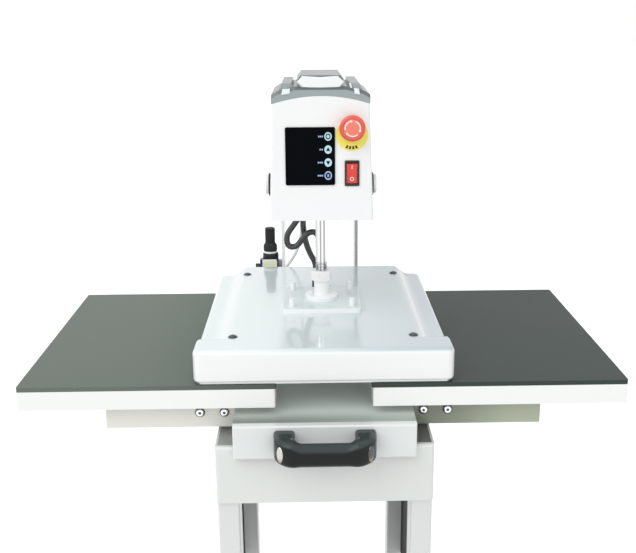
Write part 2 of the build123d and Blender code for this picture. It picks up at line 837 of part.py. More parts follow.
# Rear cover of the head, slotted for the column and louvred at the back
rear_gap = 0.2
rear_bottom_half = head_half_bottom - 0.5
with BuildPart() as head_rear_cover:
    with BuildSketch(Plane.XZ.offset(-(head_split + rear_gap))):
        with BuildLine():
            Polyline(
                (-head_rear_half_top, up(head_rear_top)),
                (-rear_bottom_half, up(head_bottom)),
                (rear_bottom_half, up(head_bottom)),
                (head_rear_half_top, up(head_rear_top)),
                close=True,
            )
        make_face()
    extrude(amount=-(head_rear - head_split - rear_gap))
    back_face = head_rear_cover.faces().sort_by(Axis.Y)[-1]
    fillet(back_face.edges(), head_edge)
    with BuildSketch(Plane.XZ.offset(-(head_split + rear_gap))):
        with BuildLine():
            Polyline(
                (-head_rear_half_top + head_wall, up(head_rear_top - head_wall)),
                (-rear_bottom_half + head_wall, up(head_bottom + head_wall)),
                (rear_bottom_half - head_wall, up(head_bottom + head_wall)),
                (head_rear_half_top - head_wall, up(head_rear_top - head_wall)),
                close=True,
            )
        make_face()
    extrude(amount=-(head_rear - head_split - rear_gap - head_wall), mode=Mode.SUBTRACT)
    slot_depth = column_rear - column_front + 2 * plate_clearance
    for sign in (-1, 1):
        slot_x = sign * (column_inner_x + column_plate / 2)
        with Locations((slot_x, (column_front + column_rear) / 2, up(head_bottom + head_wall / 2))):
            Box(column_plate + 2 * plate_clearance, slot_depth, head_wall, mode=Mode.SUBTRACT)
    with BuildSketch(Plane.XZ.offset(-head_rear)):
        with Locations((0, up((head_bottom + head_rear_top) / 2))):
            with GridLocations(1, louvre_pitch, 1, louvre_count):
                RectangleRounded(louvre_width, louvre_height, louvre_height * 0.45)
    extrude(amount=head_wall, mode=Mode.SUBTRACT)
head_rear_cover.part.label = "head_rear_cover"
export_step(head_rear_cover.part, "parts/head_rear_cover.step")

# Cap on the head: a faceted moulding with a ridge and two humps
with BuildPart() as head_cap:
    with BuildSketch(Plane.XZ.offset(cap_front)):
        with BuildLine():
            Polyline(
                (cap_half, up(head_shoulder)),
                (cap_half, up(cap_edge_top)),
                (cap_band_half, up(cap_band_top)),
                (cap_saddle_half, up(cap_saddle_top)),
                (-cap_saddle_half, up(cap_saddle_top)),
                (-cap_band_half, up(cap_band_top)),
                (-cap_half, up(cap_edge_top)),
                (-cap_half, up(head_shoulder)),
            )
            ThreePointArc(
                (-cap_half, up(head_shoulder)),
                (0, up(head_crown + cap_gap)),
                (cap_half, up(head_shoulder)),
            )
        make_face()
    extrude(amount=-(cap_front + cap_rear))
    cap_rims = head_cap.faces().filter_by(Axis.Y).edges().filter_by_position(
        Axis.Z, up(cap_edge_top + 1.0), up(cap_saddle_top + 1.0)
    )
    chamfer(cap_rims, 5.0)
    with BuildSketch(Plane.XZ.offset(cap_front - hump_setback)):
        with BuildLine():
            Polyline(
                (ridge_foot_half, up(cap_saddle_top - ridge_sink)),
                (ridge_waist_half, up(cap_saddle_top + ridge_waist_rise)),
                (ridge_top_half, up(cap_saddle_top + ridge_rise)),
                (-ridge_top_half, up(cap_saddle_top + ridge_rise)),
                (-ridge_waist_half, up(cap_saddle_top + ridge_waist_rise)),
                (-ridge_foot_half, up(cap_saddle_top - ridge_sink)),
                close=True,
            )
        make_face()
    extrude(amount=-(cap_front + cap_rear - 2 * hump_setback))
    ridge_rims = head_cap.faces().filter_by(Axis.Y).edges().filter_by_position(
        Axis.Z, up(cap_saddle_top + ridge_rise - 1.0), up(cap_saddle_top + ridge_rise + 1.0)
    )
    chamfer(ridge_rims, 7.0)
    for sign in (-1, 1):
        with BuildSketch(Plane.XZ.offset(cap_front - 2 * hump_setback)):
            with BuildLine():
                Polyline(
                    (sign * hump_outer, up(cap_band_top - ridge_sink)),
                    (sign * hump_outer_top, up(cap_band_top + hump_rise)),
                    (sign * hump_inner_top, up(cap_band_top + hump_rise)),
                    (sign * hump_inner, up(cap_band_top - ridge_sink)),
                    close=True,
                )
            make_face()
        extrude(amount=-(cap_front + cap_rear - 4 * hump_setback))
head_cap.part.label = "head_cap"
export_step(head_cap.part, "parts/head_cap.step")

# Cylinder: base block between the arms, barrel and top block
block_low = up(column_arm_bottom)
block_high = block_low + base_block_height
barrel_high = block_high + barrel_length
with BuildPart() as cylinder_base_block:
    with Locations((0, 0, (block_low + block_high) / 2)):
        Box(base_block_width, base_block_depth, base_block_height)
    wing_front = column_arm_front + base_block_wing
    wing_rear = base_block_depth / 2
    with Locations((0, (wing_front + wing_rear) / 2, (block_low + block_high) / 2)):
        Box(2 * column_inner_x, wing_rear - wing_front, base_block_height)
    with BuildSketch(Plane.XY.offset(block_low)):
        Circle(rod_radius + rod_clearance)
    extrude(amount=base_block_height, mode=Mode.SUBTRACT)
cylinder_base_block.part.label = "cylinder_base_block"
export_step(cylinder_base_block.part, "parts/cylinder_base_block.step")

with BuildPart() as cylinder_barrel:
    bore_radius = cylinder_bore / 2
    with BuildSketch(Plane.XY.offset(block_high)):
        Circle(bore_radius + barrel_wall)
        Circle(bore_radius, mode=Mode.SUBTRACT)
    extrude(amount=barrel_length)
cylinder_barrel.part.label = "cylinder_barrel"
export_step(cylinder_barrel.part, "parts/cylinder_barrel.step")

with BuildPart() as cylinder_top_block:
    with Locations((0, 0, barrel_high + top_block_height / 2)):
        Box(cap_block, cap_block, top_block_height)
    chamfer(cylinder_top_block.edges().filter_by(Axis.Z), 8.0)
cylinder_top_block.part.label = "cylinder_top_block"
export_step(cylinder_top_block.part, "parts/cylinder_top_block.step")

# Piston and rod
piston_bottom = block_high + piston_rest_gap
piston_top = piston_bottom + piston_thickness
with BuildPart() as piston:
    with BuildSketch(Plane.XY.offset(piston_bottom)):
        Circle(bore_radius - piston_clearance)
        Circle(rod_thread_radius, mode=Mode.SUBTRACT)
    extrude(amount=piston_thickness)
piston.part.label = "piston"
export_step(piston.part, "parts/piston.step")

nut_low = up(nut_bottom)
rod_low = up(cover_top + flange_height + disc_height) + 2.0
with BuildPart() as piston_rod:
    with BuildSketch(Plane.XY.offset(rod_low)):
        Circle(rod_radius)
    extrude(amount=piston_bottom - rod_low)
    with BuildSketch(Plane.XY.offset(piston_bottom)):
        Circle(rod_thread_radius)
    extrude(amount=piston_thickness + rod_thread_height)
piston_rod.part.label = "piston_rod"
export_step(piston_rod.part, "parts/piston_rod.step")

# Coupling: lock nut, collar with disc, and the square flange plate
with BuildPart() as lock_nut:
    with BuildSketch(Plane.XY.offset(nut_low)):
        RegularPolygon(nut_across_flats / 2, 6, major_radius=False, rotation=30)
        Circle(rod_radius + thread_clearance, mode=Mode.SUBTRACT)
    extrude(amount=nut_height)
lock_nut.part.label = "lock_nut"
export_step(lock_nut.part, "parts/lock_nut.step")

flange_low = up(cover_top)
flange_high = flange_low + flange_height
with BuildPart() as rod_coupling:
    with BuildSketch(Plane.XY.offset(flange_high)):
        Circle(disc_radius)
    extrude(amount=disc_height)
    fillet(rod_coupling.edges().group_by(Axis.Z)[-1], 2.0)
    with BuildSketch(Plane.XY.offset(flange_high + disc_height - 1.0)):
        Circle(collar_radius)
    extrude(amount=nut_low - flange_high - disc_height + 1.0)
    with BuildSketch(Plane.XY.offset(rod_low)):
        Circle(rod_radius)
    extrude(amount=nut_low - rod_low, mode=Mode.SUBTRACT)
rod_coupling.part.label = "rod_coupling"
export_step(rod_coupling.part, "parts/rod_coupling.step")

with BuildPart() as flange_plate:
    with BuildSketch(Plane.XY.offset(flange_low)):
        RectangleRounded(flange_side, flange_side, flange_corner)
        with GridLocations(stud_pitch, stud_pitch, 2, 2):
            Circle(stud_radius + fit_clearance, mode=Mode.SUBTRACT)
    extrude(amount=flange_height)
    fillet(flange_plate.edges().group_by(Axis.Z)[-1].filter_by(GeomType.CIRCLE, reverse=True), 1.5)
flange_plate.part.label = "flange_plate"
export_step(flange_plate.part, "parts/flange_plate.step")

# Heat platen: plate, element in a groove, insulation and the cover
plate_low = pad_top + platen_gap
plate_high = plate_low + plate_thickness
board_high = plate_high + insulation_thickness
plate_width = cover_width - 2 * (cover_wall + plate_margin)
plate_depth_y = cover_depth - 2 * (cover_wall + plate_margin)
stud_high = flange_high + stud_top
stud_low = stud_high - stud_depth
with BuildPart() as flange_studs:
    with BuildSketch(Plane.XY.offset(stud_low)):
        with GridLocations(stud_pitch, stud_pitch, 2, 2):
            Circle(stud_radius)
    extrude(amount=stud_depth)
    with BuildSketch(Plane.XY.offset(board_high)):
        with GridLocations(stud_pitch, stud_pitch, 2, 2):
            Circle(stud_head_radius)
    extrude(amount=up(cover_top - cover_wall) - board_high)
flange_studs.part.label = "flange_studs"
export_step(flange_studs.part, "parts/flange_studs.step")

cover_low = up(cover_bottom)
shelf_high = up(cover_shelf)
cover_high = up(cover_top)
cavity_width = cover_width - 2 * cover_wall
cavity_depth = cover_depth - 2 * cover_wall
front_block_y = -cover_depth / 2 + front_block_depth / 2
with BuildPart() as platen_cover:
    with BuildSketch(Plane.XY.offset(cover_low)):
        RectangleRounded(cover_width, cover_depth, cover_corner)
    extrude(amount=shelf_high - cover_low)
    fillet(platen_cover.edges().group_by(Axis.Z)[-1], cover_edge)
    with BuildSketch(Plane.XY.offset(cover_low)):
        with Locations((0, front_block_y)):
            RectangleRounded(cover_width, front_block_depth, cover_corner)
        with Locations((0, plateau_inset)):
            RectangleRounded(2 * plateau_half, cover_depth - 2 * plateau_inset, cover_corner)
    extrude(amount=cover_high - cover_low)
    roof_rims = platen_cover.edges().group_by(Axis.Z)[-1]
    fillet(roof_rims, cover_edge)
    with BuildSketch(Plane.XY.offset(cover_low)):
        Rectangle(cavity_width, cavity_depth)
    extrude(amount=shelf_high - cover_wall - cover_low - 2.0, mode=Mode.SUBTRACT)
    with BuildSketch(Plane.XY.offset(cover_low)):
        with Locations((0, front_block_y)):
            Rectangle(cavity_width - 2 * cover_wall, front_block_depth - 2 * cover_wall)
        Rectangle(2 * plateau_half - 4 * cover_wall, cavity_depth - 2 * cover_wall)
    extrude(amount=cover_high - cover_wall - cover_low, mode=Mode.SUBTRACT)
    with BuildSketch(Plane.XY.offset(cover_high - cover_wall)):
        with GridLocations(stud_pitch, stud_pitch, 2, 2):
            Circle(stud_radius + fit_clearance)
        with GridLocations(2 * cover_screw_x, 2 * cover_screw_y, 2, 2):
            Circle(cover_screw_radius + fit_clearance)
    extrude(amount=cover_wall, mode=Mode.SUBTRACT)
platen_cover.part.label = "platen_cover"
export_step(platen_cover.part, "parts/platen_cover.step")

element_z = plate_high
half_run = element_reach
with BuildPart() as heating_element:
    element_xs = [element_pitch * (i - (element_runs - 1) / 2) for i in range(element_runs)]
    element_points = []
    for i, x in enumerate(element_xs):
        ends = (-half_run, half_run) if i % 2 == 0 else (half_run, -half_run)
        element_points += [(x, ends[0], plate_high - element_radius), (x, ends[1], plate_high - element_radius)]
    with BuildLine() as element_line:
        FilletPolyline(*element_points, radius=element_turn)
    with BuildSketch(element_line.line ^ 0):
        Circle(element_radius)
    sweep()
heating_element.part.label = "heating_element"
export_step(heating_element.part, "parts/heating_element.step")

with BuildPart() as heating_plate:
    with BuildSketch(Plane.XY.offset(plate_low)):
        RectangleRounded(plate_width, plate_depth_y, cover_corner - cover_wall)
    extrude(amount=plate_thickness)
    with BuildLine() as groove_line:
        FilletPolyline(*element_points, radius=element_turn)
    groove_side = element_radius + element_clearance
    with BuildSketch(groove_line.line ^ 0):
        Rectangle(2 * groove_side, 2 * groove_side)
    sweep(mode=Mode.SUBTRACT)
    with BuildSketch(Plane.XY.offset(stud_low)):
        with GridLocations(stud_pitch, stud_pitch, 2, 2):
            Circle(stud_radius)
        with GridLocations(2 * cover_screw_x, 2 * cover_screw_y, 2, 2):
            Circle(cover_screw_radius)
    extrude(amount=plate_high - stud_low, mode=Mode.SUBTRACT)
heating_plate.part.label = "heating_plate"
export_step(heating_plate.part, "parts/heating_plate.step")

with BuildPart() as insulation_board:
    with BuildSketch(Plane.XY.offset(plate_high)):
        Rectangle(2 * plateau_half - 2 * insulation_margin, cover_depth - 4 * insulation_margin)
        with GridLocations(stud_pitch, stud_pitch, 2, 2):
            Circle(stud_radius + fit_clearance, mode=Mode.SUBTRACT)
        with GridLocations(2 * cover_screw_x, 2 * cover_screw_y, 2, 2):
            Circle(cover_screw_radius + fit_clearance, mode=Mode.SUBTRACT)
    extrude(amount=insulation_thickness)
insulation_board.part.label = "insulation_board"
export_step(insulation_board.part, "parts/insulation_board.step")

# Button-head screws through the cover into the heating plate
with BuildPart() as cover_screws:
    with BuildSketch(Plane.XY.offset(stud_low)):
        with GridLocations(2 * cover_screw_x, 2 * cover_screw_y, 2, 2):
            Circle(cover_screw_radius)
    extrude(amount=cover_high - stud_low)
    with BuildSketch(Plane.XY.offset(cover_high)):
        with GridLocations(2 * cover_screw_x, 2 * cover_screw_y, 2, 2):
            Circle(cover_screw_head)
    extrude(amount=cover_screw_head_height)
    fillet(cover_screws.edges().group_by(Axis.Z)[-1], cover_screw_head_height * 0.7)
cover_screws.part.label = "cover_screws"
export_step(cover_screws.part, "parts/cover_screws.step")

# Domed glands where the two conduits enter the cover
with BuildPart() as cover_glands:
    with BuildSketch(Plane.XY.offset(cover_high)):
        with Locations(gland_a, gland_b):
            Circle(gland_radius)
    extrude(amount=gland_height)
    fillet(cover_glands.edges().group_by(Axis.Z)[-1], gland_dome)
cover_glands.part.label = "cover_glands"
export_step(cover_glands.part, "parts/cover_glands.step")

# Display: glossy panel on the head and the board behind it
with BuildPart() as display_panel:
    with BuildSketch(Plane.XZ.offset(head_front)):
        with Locations((display_x, up(display_z))):
            RectangleRounded(display_width, display_height, display_corner)
    extrude(amount=display_thickness)
display_panel.part.label = "display_panel"
export_step(display_panel.part, "parts/display_panel.step")

with BuildPart() as control_board:
    board_front = head_front - head_wall - board_gap
    board_width = display_width - 2 * display_window - 4.0
    board_height = display_height - 2 * display_window - 4.0
    with BuildSketch(Plane.XZ.offset(board_front)):
        with Locations((display_x, up(display_z))):
            Rectangle(board_width, board_height)
    extrude(amount=-board_thickness)
    with BuildSketch(Plane.XZ.offset(board_front)):
        with Locations((display_x, up(display_z))):
            with GridLocations(board_width - 8.0, board_height - 8.0, 2, 2):
                Circle(2.5)
    extrude(amount=head_front - board_front)
control_board.part.label = "control_board"
export_step(control_board.part, "parts/control_board.step")

# Emergency stop: yellow label, body with collar, mushroom that pushes in
label_front = head_front + estop_label_thickness
collar_front = label_front + estop_collar_height
with BuildPart() as estop_label:
    with BuildSketch(Plane.XZ.offset(head_front)):
        with Locations((estop_x, up(estop_z - estop_label_drop))):
            Circle(estop_label_radius)
        with Locations((estop_x, up(estop_z))):
            Circle(estop_barrel_radius + fit_clearance, mode=Mode.SUBTRACT)
    extrude(amount=estop_label_thickness)
estop_label.part.label = "estop_label"
export_step(estop_label.part, "parts/estop_label.step")

button_back = collar_front + estop_travel + 0.5
button_skirt = button_back - estop_socket
stem_back = button_back - estop_stem_length
with BuildPart() as estop_body:
    block_front = head_front - head_wall
    with BuildSketch(Plane.XZ.offset(block_front)):
        with Locations((estop_x, up(estop_z))):
            Rectangle(estop_block, estop_block)
    extrude(amount=-estop_block_depth)
    with BuildSketch(Plane.XZ.offset(block_front)):
        with Locations((estop_x, up(estop_z))):
            Circle(estop_barrel_radius)
    extrude(amount=label_front - block_front)
    with BuildSketch(Plane.XZ.offset(label_front)):
        with Locations((estop_x, up(estop_z))):
            Circle(estop_collar_radius)
    extrude(amount=estop_collar_height)
    with BuildSketch(Plane.XZ.offset(collar_front)):
        with Locations((estop_x, up(estop_z))):
            Circle(estop_stem_radius + start_clearance)
    extrude(amount=-(collar_front - stem_back + estop_travel + 1.0), mode=Mode.SUBTRACT)
estop_body.part.label = "estop_body"
export_step(estop_body.part, "parts/estop_body.step")

with BuildPart() as estop_button:
    with BuildSketch(Plane.XZ.offset(button_skirt)):
        with Locations((estop_x, up(estop_z))):
            Circle(estop_button_radius)
    extrude(amount=estop_button_height)
    fillet(estop_button.faces().sort_by(Axis.Y)[0].edges(), 5.0)
    with BuildSketch(Plane.XZ.offset(button_skirt)):
        with Locations((estop_x, up(estop_z))):
            Circle(estop_collar_radius + 1.0)
    extrude(amount=estop_socket, mode=Mode.SUBTRACT)
    with BuildSketch(Plane.XZ.offset(button_back)):
        with Locations((estop_x, up(estop_z))):
            Circle(estop_stem_radius)
    extrude(amount=-estop_stem_length)
estop_button.part.label = "estop_button"
export_step(estop_button.part, "parts/estop_button.step")

# Power switch: housing with bezel, and the rocker on its two pins
bezel_front = head_front + rocker_bezel_rim
pivot_y = bezel_front - rocker_pivot_depth
with BuildPart() as rocker_housing:
    with BuildSketch(Plane.XZ.offset(head_front)):
        with Locations((rocker_x, up(rocker_z))):
            Rectangle(rocker_bezel_width, rocker_bezel_height)
    extrude(amount=rocker_bezel_rim)
    fillet(rocker_housing.edges().filter_by(Axis.Y), 2.0)
    with BuildSketch(Plane.XZ.offset(head_front)):
        with Locations((rocker_x, up(rocker_z))):
            Rectangle(rocker_window_width + 3.0, rocker_window_height + 2.0)
    extrude(amount=-rocker_depth)
    with BuildSketch(Plane.XZ.offset(bezel_front)):
        with Locations((rocker_x, up(rocker_z))):
            Rectangle(rocker_window_width, rocker_window_height)
    extrude(amount=-(rocker_depth + rocker_bezel_rim - 4.0), mode=Mode.SUBTRACT)
    pin_reach = rocker_window_width / 2 + 1.5
    with BuildSketch(Plane.YZ.offset(rocker_x - pin_reach)):
        with Locations((-pivot_y, up(rocker_z))):
            Circle(rocker_pin_radius + start_clearance)
    extrude(amount=2 * pin_reach, mode=Mode.SUBTRACT)
rocker_housing.part.label = "rocker_housing"
export_step(rocker_housing.part, "parts/rocker_housing.step")

tilt = radians(rocker_tilt)
paddle_half = rocker_window_width / 2 - rocker_side_gap
paddle_outline = [
    (-16.6, 4.0),
    (-8.0, 2.2),
    (0.0, 1.6),
    (8.0, 2.2),
    (16.6, 4.0),
    (15.5, -5.0),
    (4.0, -9.0),
    (-4.0, -9.0),
    (-15.5, -5.0),
]
paddle_points = []
for across, out in paddle_outline:
    turned_up = across * cos(tilt) - out * sin(tilt)
    turned_out = out * cos(tilt) + across * sin(tilt)
    paddle_points.append((-pivot_y - turned_out, up(rocker_z) + turned_up))
with BuildPart() as power_rocker:
    with BuildSketch(Plane.YZ.offset(rocker_x - paddle_half)):
        with BuildLine():
            Polyline(*paddle_points, close=True)
        make_face()
    extrude(amount=2 * paddle_half)
    pin_half = paddle_half + rocker_pin_length
    with BuildSketch(Plane.YZ.offset(rocker_x - pin_half)):
        with Locations((-pivot_y, up(rocker_z))):
            Circle(rocker_pin_radius)
    extrude(amount=2 * pin_half)
power_rocker.part.label = "power_rocker"
export_step(power_rocker.part, "parts/power_rocker.step")

# Start buttons on both sides of the head
ring_outer = start_ring_seat + start_ring_height
cap_outer = start_ring_seat + start_cap_out
cap_inner = start_ring_seat - start_cap_depth
with BuildPart() as start_button_rings:
    with BuildSketch(Plane.YZ.offset(start_ring_seat)):
        with Locations((start_y, up(start_z))):
            Circle(start_ring_radius)
    extrude(amount=start_ring_height)
    fillet(start_button_rings.faces().sort_by(Axis.X)[-1].edges(), 1.0)
    with BuildSketch(Plane.YZ.offset(start_wall)):
        with Locations((start_y, up(start_z))):
            Circle(start_barrel_radius)
    extrude(amount=start_barrel_depth)
    with BuildSketch(Plane.YZ.offset(cap_inner - start_travel - 2.0)):
        with Locations((start_y, up(start_z))):
            Circle(start_cap_radius + start_clearance)
    extrude(amount=ring_outer - cap_inner + start_travel + 2.0, mode=Mode.SUBTRACT)
    mirror(about=Plane.YZ)
start_button_rings.part.label = "start_button_rings"
export_step(start_button_rings.part, "parts/start_button_rings.step")

for side, sign in (("left", -1), ("right", 1)):
    with BuildPart() as start_button:
        with BuildSketch(Plane.YZ.offset(sign * cap_inner)):
            with Locations((start_y, up(start_z))):
                Circle(start_cap_radius)
        extrude(amount=sign * (cap_outer - cap_inner))
        outer_rim = start_button.faces().sort_by(Axis.X)[-1 if sign > 0 else 0].edges()
        fillet(outer_rim, 1.5)
    start_button.part.label = f"start_button_{side}"
    export_step(start_button.part, f"parts/start_button_{side}.step")

# Solenoid valve behind the top block of the cylinder
with BuildPart() as solenoid_valve:
    valve_y = cap_block / 2 + valve_width / 2
    valve_z = barrel_high + valve_height / 2
    with Locations((0, valve_y, valve_z)):
        Box(valve_length, valve_width, valve_height)
    with Locations((valve_length / 2 + valve_coil / 2, valve_y, valve_z)):
        Box(valve_coil, valve_coil, valve_coil)
solenoid_valve.part.label = "solenoid_valve"
export_step(solenoid_valve.part, "parts/solenoid_valve.step")

# Filter-regulator: body, clear bowl, knob, gauge, bracket and fittings
body_low = up(regulator_bottom)
body_high = up(regulator_top)
collar_high = up(collar_band_top)
with BuildPart() as regulator_body:
    with BuildSketch(Plane.XY.offset(body_low)):
        with Locations((regulator_x, regulator_y)):
            RectangleRounded(regulator_side, regulator_side, 2.0)
    extrude(amount=body_high - body_low)
    with BuildSketch(Plane.XY.offset(body_high)):
        with Locations((regulator_x, regulator_y)):
            Circle(collar_band_radius)
    extrude(amount=collar_high - body_high)
    with BuildSketch(Plane.XY.offset(collar_high)):
        with Locations((regulator_x, regulator_y)):
            Circle(neck_radius)
    extrude(amount=up(neck_top) - collar_high)
    with BuildSketch(Plane.XY.offset(collar_high)):
        with Locations((regulator_x, regulator_y)):
            Circle(nut_ring_radius)
    extrude(amount=nut_ring_top - collar_band_top)
regulator_body.part.label = "regulator_body"
export_step(regulator_body.part, "parts/regulator_body.step")

with BuildPart() as regulator_knob:
    with BuildSketch(Plane.XY.offset(up(knob_bottom))):
        with Locations((regulator_x, regulator_y)):
            Circle(knob_ring_radius)
    extrude(amount=knob_ring_top - knob_bottom)
    fillet(regulator_knob.edges().group_by(Axis.Z)[-1], 3.0)
    with BuildSketch(Plane.XY.offset(up(knob_bottom))):
        with Locations((regulator_x, regulator_y)):
            Circle(knob_radius)
    extrude(amount=knob_top - knob_bottom)
    fillet(regulator_knob.edges().group_by(Axis.Z)[-1], 1.5)
    with BuildSketch(Plane.XY.offset(up(knob_bottom))):
        with Locations((regulator_x, regulator_y)):
            Circle(neck_radius + start_clearance)
    extrude(amount=neck_top - knob_bottom + 1.0, mode=Mode.SUBTRACT)
regulator_knob.part.label = "regulator_knob"
export_step(regulator_knob.part, "parts/regulator_knob.step")

with BuildPart() as regulator_bowl:
    bowl_low = body_low - bowl_length
    with BuildSketch(Plane.XY.offset(bowl_low)):
        with Locations((regulator_x, regulator_y)):
            Circle(bowl_radius)
    extrude(amount=bowl_length)
    fillet(regulator_bowl.edges().group_by(Axis.Z)[0], 6.0)
    with BuildSketch(Plane.XY.offset(bowl_low + bowl_wall * 2)):
        with Locations((regulator_x, regulator_y)):
            Circle(bowl_radius - bowl_wall)
    extrude(amount=bowl_length - bowl_wall * 2, mode=Mode.SUBTRACT)
regulator_bowl.part.label = "regulator_bowl"
export_step(regulator_bowl.part, "parts/regulator_bowl.step")

with BuildPart() as pressure_gauge:
    gauge_face = regulator_y - regulator_side / 2
    with BuildSketch(Plane.XZ.offset(-gauge_face)):
        with Locations((regulator_x, up(gauge_z + 8.0))):
            RectangleRounded(2 * gauge_radius, 2 * gauge_radius, 2.0)
    extrude(amount=gauge_depth - 8.0)
pressure_gauge.part.label = "pressure_gauge"
export_step(pressure_gauge.part, "parts/pressure_gauge.step")

with BuildPart() as regulator_bracket:
    bracket_left = regulator_x + regulator_side / 2
    bracket_right = -column_outer_x
    with Locations(((bracket_left + bracket_right) / 2, regulator_y + 9.0, up(gauge_z))):
        Box(bracket_right - bracket_left, 12.0, 36.0)
regulator_bracket.part.label = "regulator_bracket"
export_step(regulator_bracket.part, "parts/regulator_bracket.step")

outlet_width = 7.5
outlet_x = bracket_left + outlet_width / 2
outlet_y = regulator_y - 9.0
outlet_z = up(38.0)
nozzle_front = outlet_y - 14.0
with BuildPart() as air_fittings:
    with BuildSketch(Plane.YZ.offset(regulator_x - regulator_side / 2)):
        with Locations((regulator_y, up(fitting_z))):
            Circle(fitting_radius)
    extrude(amount=-fitting_length)
    with BuildSketch(Plane.YZ.offset(regulator_x - regulator_side / 2 - fitting_length)):
        with Locations((regulator_y, up(fitting_z))):
            Circle(tube_bore_radius)
    extrude(amount=tube_bore_depth, mode=Mode.SUBTRACT)
    with Locations((outlet_x, outlet_y, outlet_z)):
        Box(outlet_width, 13.0, 13.0)
    with BuildSketch(Plane.XZ.offset(-nozzle_front)):
        with Locations((outlet_x, outlet_z)):
            Circle(outlet_width / 2)
    extrude(amount=-(outlet_y - nozzle_front))
air_fittings.part.label = "air_fittings"
export_step(air_fittings.part, "parts/air_fittings.step")

# Mains socket in the back of the base
with BuildPart() as mains_inlet:
    inlet_back = base_rear + inlet_flange_depth
    with Locations((inlet_x, base_rear + inlet_flange_depth / 2, inlet_z)):
        Box(inlet_flange_width, inlet_flange_depth, inlet_flange_height)
    with Locations((inlet_x, base_rear - inlet_body_depth / 2, inlet_z)):
        Box(inlet_body_width, inlet_body_depth, inlet_body_height)
    with Locations((inlet_x, inlet_back - inlet_recess_depth / 2, inlet_z)):
        Box(inlet_recess_width, inlet_recess_depth, inlet_recess_height, mode=Mode.SUBTRACT)
    with Locations((inlet_x, inlet_back - inlet_recess_depth + 6.0, inlet_z)):
        with GridLocations(7.0, 1, 3, 1):
            Box(2.0, 12.0, 6.0)
mains_inlet.part.label = "mains_inlet"
export_step(mains_inlet.part, "parts/mains_inlet.step")


def bend_radii(points):
    """Bend radius at each inner point of a route, from its shorter run."""
    radii = []
    for before, at, after in zip(points, points[1:], points[2:]):
        into = Vector(*at) - Vector(*before)
        out = Vector(*after) - Vector(*at)
        cosine = into.dot(out) / (into.length * out.length)
        half_turn = acos(max(-1.0, min(1.0, cosine))) / 2
        radii.append(bend_share * min(into.length, out.length) / tan(half_turn))
    return radii


# Flexible lines: straight runs joined by tangent arcs
conduit_top = up(head_bottom)
conduit_end = cover_high + gland_height
heater_route = [
    (-34.0, gland_a[1], conduit_top),
    (-34.0, gland_a[1], up(204.0)),
    (-47.0, gland_a[1], up(184.0)),
    (-64.0, gland_a[1], up(161.0)),
    (-61.0, gland_a[1], up(139.0)),
    (-45.0, gland_a[1], up(139.0)),
    (-34.0, gland_a[1], up(154.0)),
    (-22.0, gland_a[1], up(167.0)),
    (-8.0, gland_a[1], up(167.0)),
    (0.0, gland_a[1], up(146.0)),
    (gland_a[0], gland_a[1], up(112.0)),
    (gland_a[0], gland_a[1], conduit_end),
]
sensor_route = [
    (-33.0, gland_b[1], conduit_top),
    (-33.0, gland_b[1], up(182.0)),
    (-30.0, gland_b[1], up(150.0)),
    (-21.0, gland_b[1], up(122.0)),
    (gland_b[0], gland_b[1], up(100.0)),
    (gland_b[0], gland_b[1], conduit_end),
]
tube_y = half_depth + 12.0
tube_route = [
    (-39.0, tube_y, conduit_top),
    (-39.0, tube_y, up(176.0)),
    (-36.5, tube_y, up(126.0)),
    (-45.0, tube_y, up(88.0)),
    (-64.0, tube_y, up(58.0)),
    (outlet_x, tube_y - 1.0, outlet_z),
    (outlet_x, nozzle_front, outlet_z),
]
for name, route, radius in (
    ("heater_conduit", heater_route, conduit_radius),
    ("sensor_conduit", sensor_route, conduit_radius),
    ("air_tube", tube_route, tube_radius),
):
    radii = bend_radii(route)
    print(name, [round(r, 2) for r in radii])
    with BuildPart() as line:
        with BuildLine() as path:
            FilletPolyline(*route, radius=radii)
        with BuildSketch(path.line ^ 0):
            Circle(radius)
        sweep()
    line.part.label = name
    export_step(line.part, f"parts/{name}.step")
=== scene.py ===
import bpy
import bmesh
import math

from mathutils import Matrix, Vector
from mathutils.bvhtree import BVHTree


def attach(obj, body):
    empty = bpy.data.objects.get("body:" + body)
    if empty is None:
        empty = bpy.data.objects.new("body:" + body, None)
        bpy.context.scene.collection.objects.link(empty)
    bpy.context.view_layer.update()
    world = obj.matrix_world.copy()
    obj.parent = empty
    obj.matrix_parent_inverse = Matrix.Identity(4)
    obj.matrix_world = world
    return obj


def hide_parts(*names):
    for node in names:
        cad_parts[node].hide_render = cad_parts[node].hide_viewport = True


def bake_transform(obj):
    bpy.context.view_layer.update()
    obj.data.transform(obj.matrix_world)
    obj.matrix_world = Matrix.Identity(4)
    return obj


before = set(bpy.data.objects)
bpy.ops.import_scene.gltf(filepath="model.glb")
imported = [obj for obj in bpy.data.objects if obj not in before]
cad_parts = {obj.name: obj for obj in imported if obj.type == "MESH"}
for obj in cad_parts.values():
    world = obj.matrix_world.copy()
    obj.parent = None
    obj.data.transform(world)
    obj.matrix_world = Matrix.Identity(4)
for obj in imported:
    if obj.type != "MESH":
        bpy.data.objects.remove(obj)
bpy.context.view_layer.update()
PADS_TOP = 0.880  # metres over the floor
scene = bpy.context.scene
scene.view_settings.view_transform = "Standard"


# ---------- helpers ----------
def mm(*values):
    """Millimetres measured from the pads' top face, as a point in metres."""
    x, y, z = values
    return Vector((x / 1000, y / 1000, PADS_TOP + z / 1000))


def link(obj):
    scene.collection.objects.link(obj)
    return obj


def mesh_object(name, verts, faces, material=None, smooth=False, scale=True):
    mesh = bpy.data.meshes.new(name)
    points = [mm(*v) for v in verts] if scale else verts
    mesh.from_pydata(points, [], faces)
    mesh.update()
    obj = link(bpy.data.objects.new(name, mesh))
    if material:
        mesh.materials.append(material)
    if smooth:
        for p in mesh.polygons:
            p.use_smooth = True
    return obj


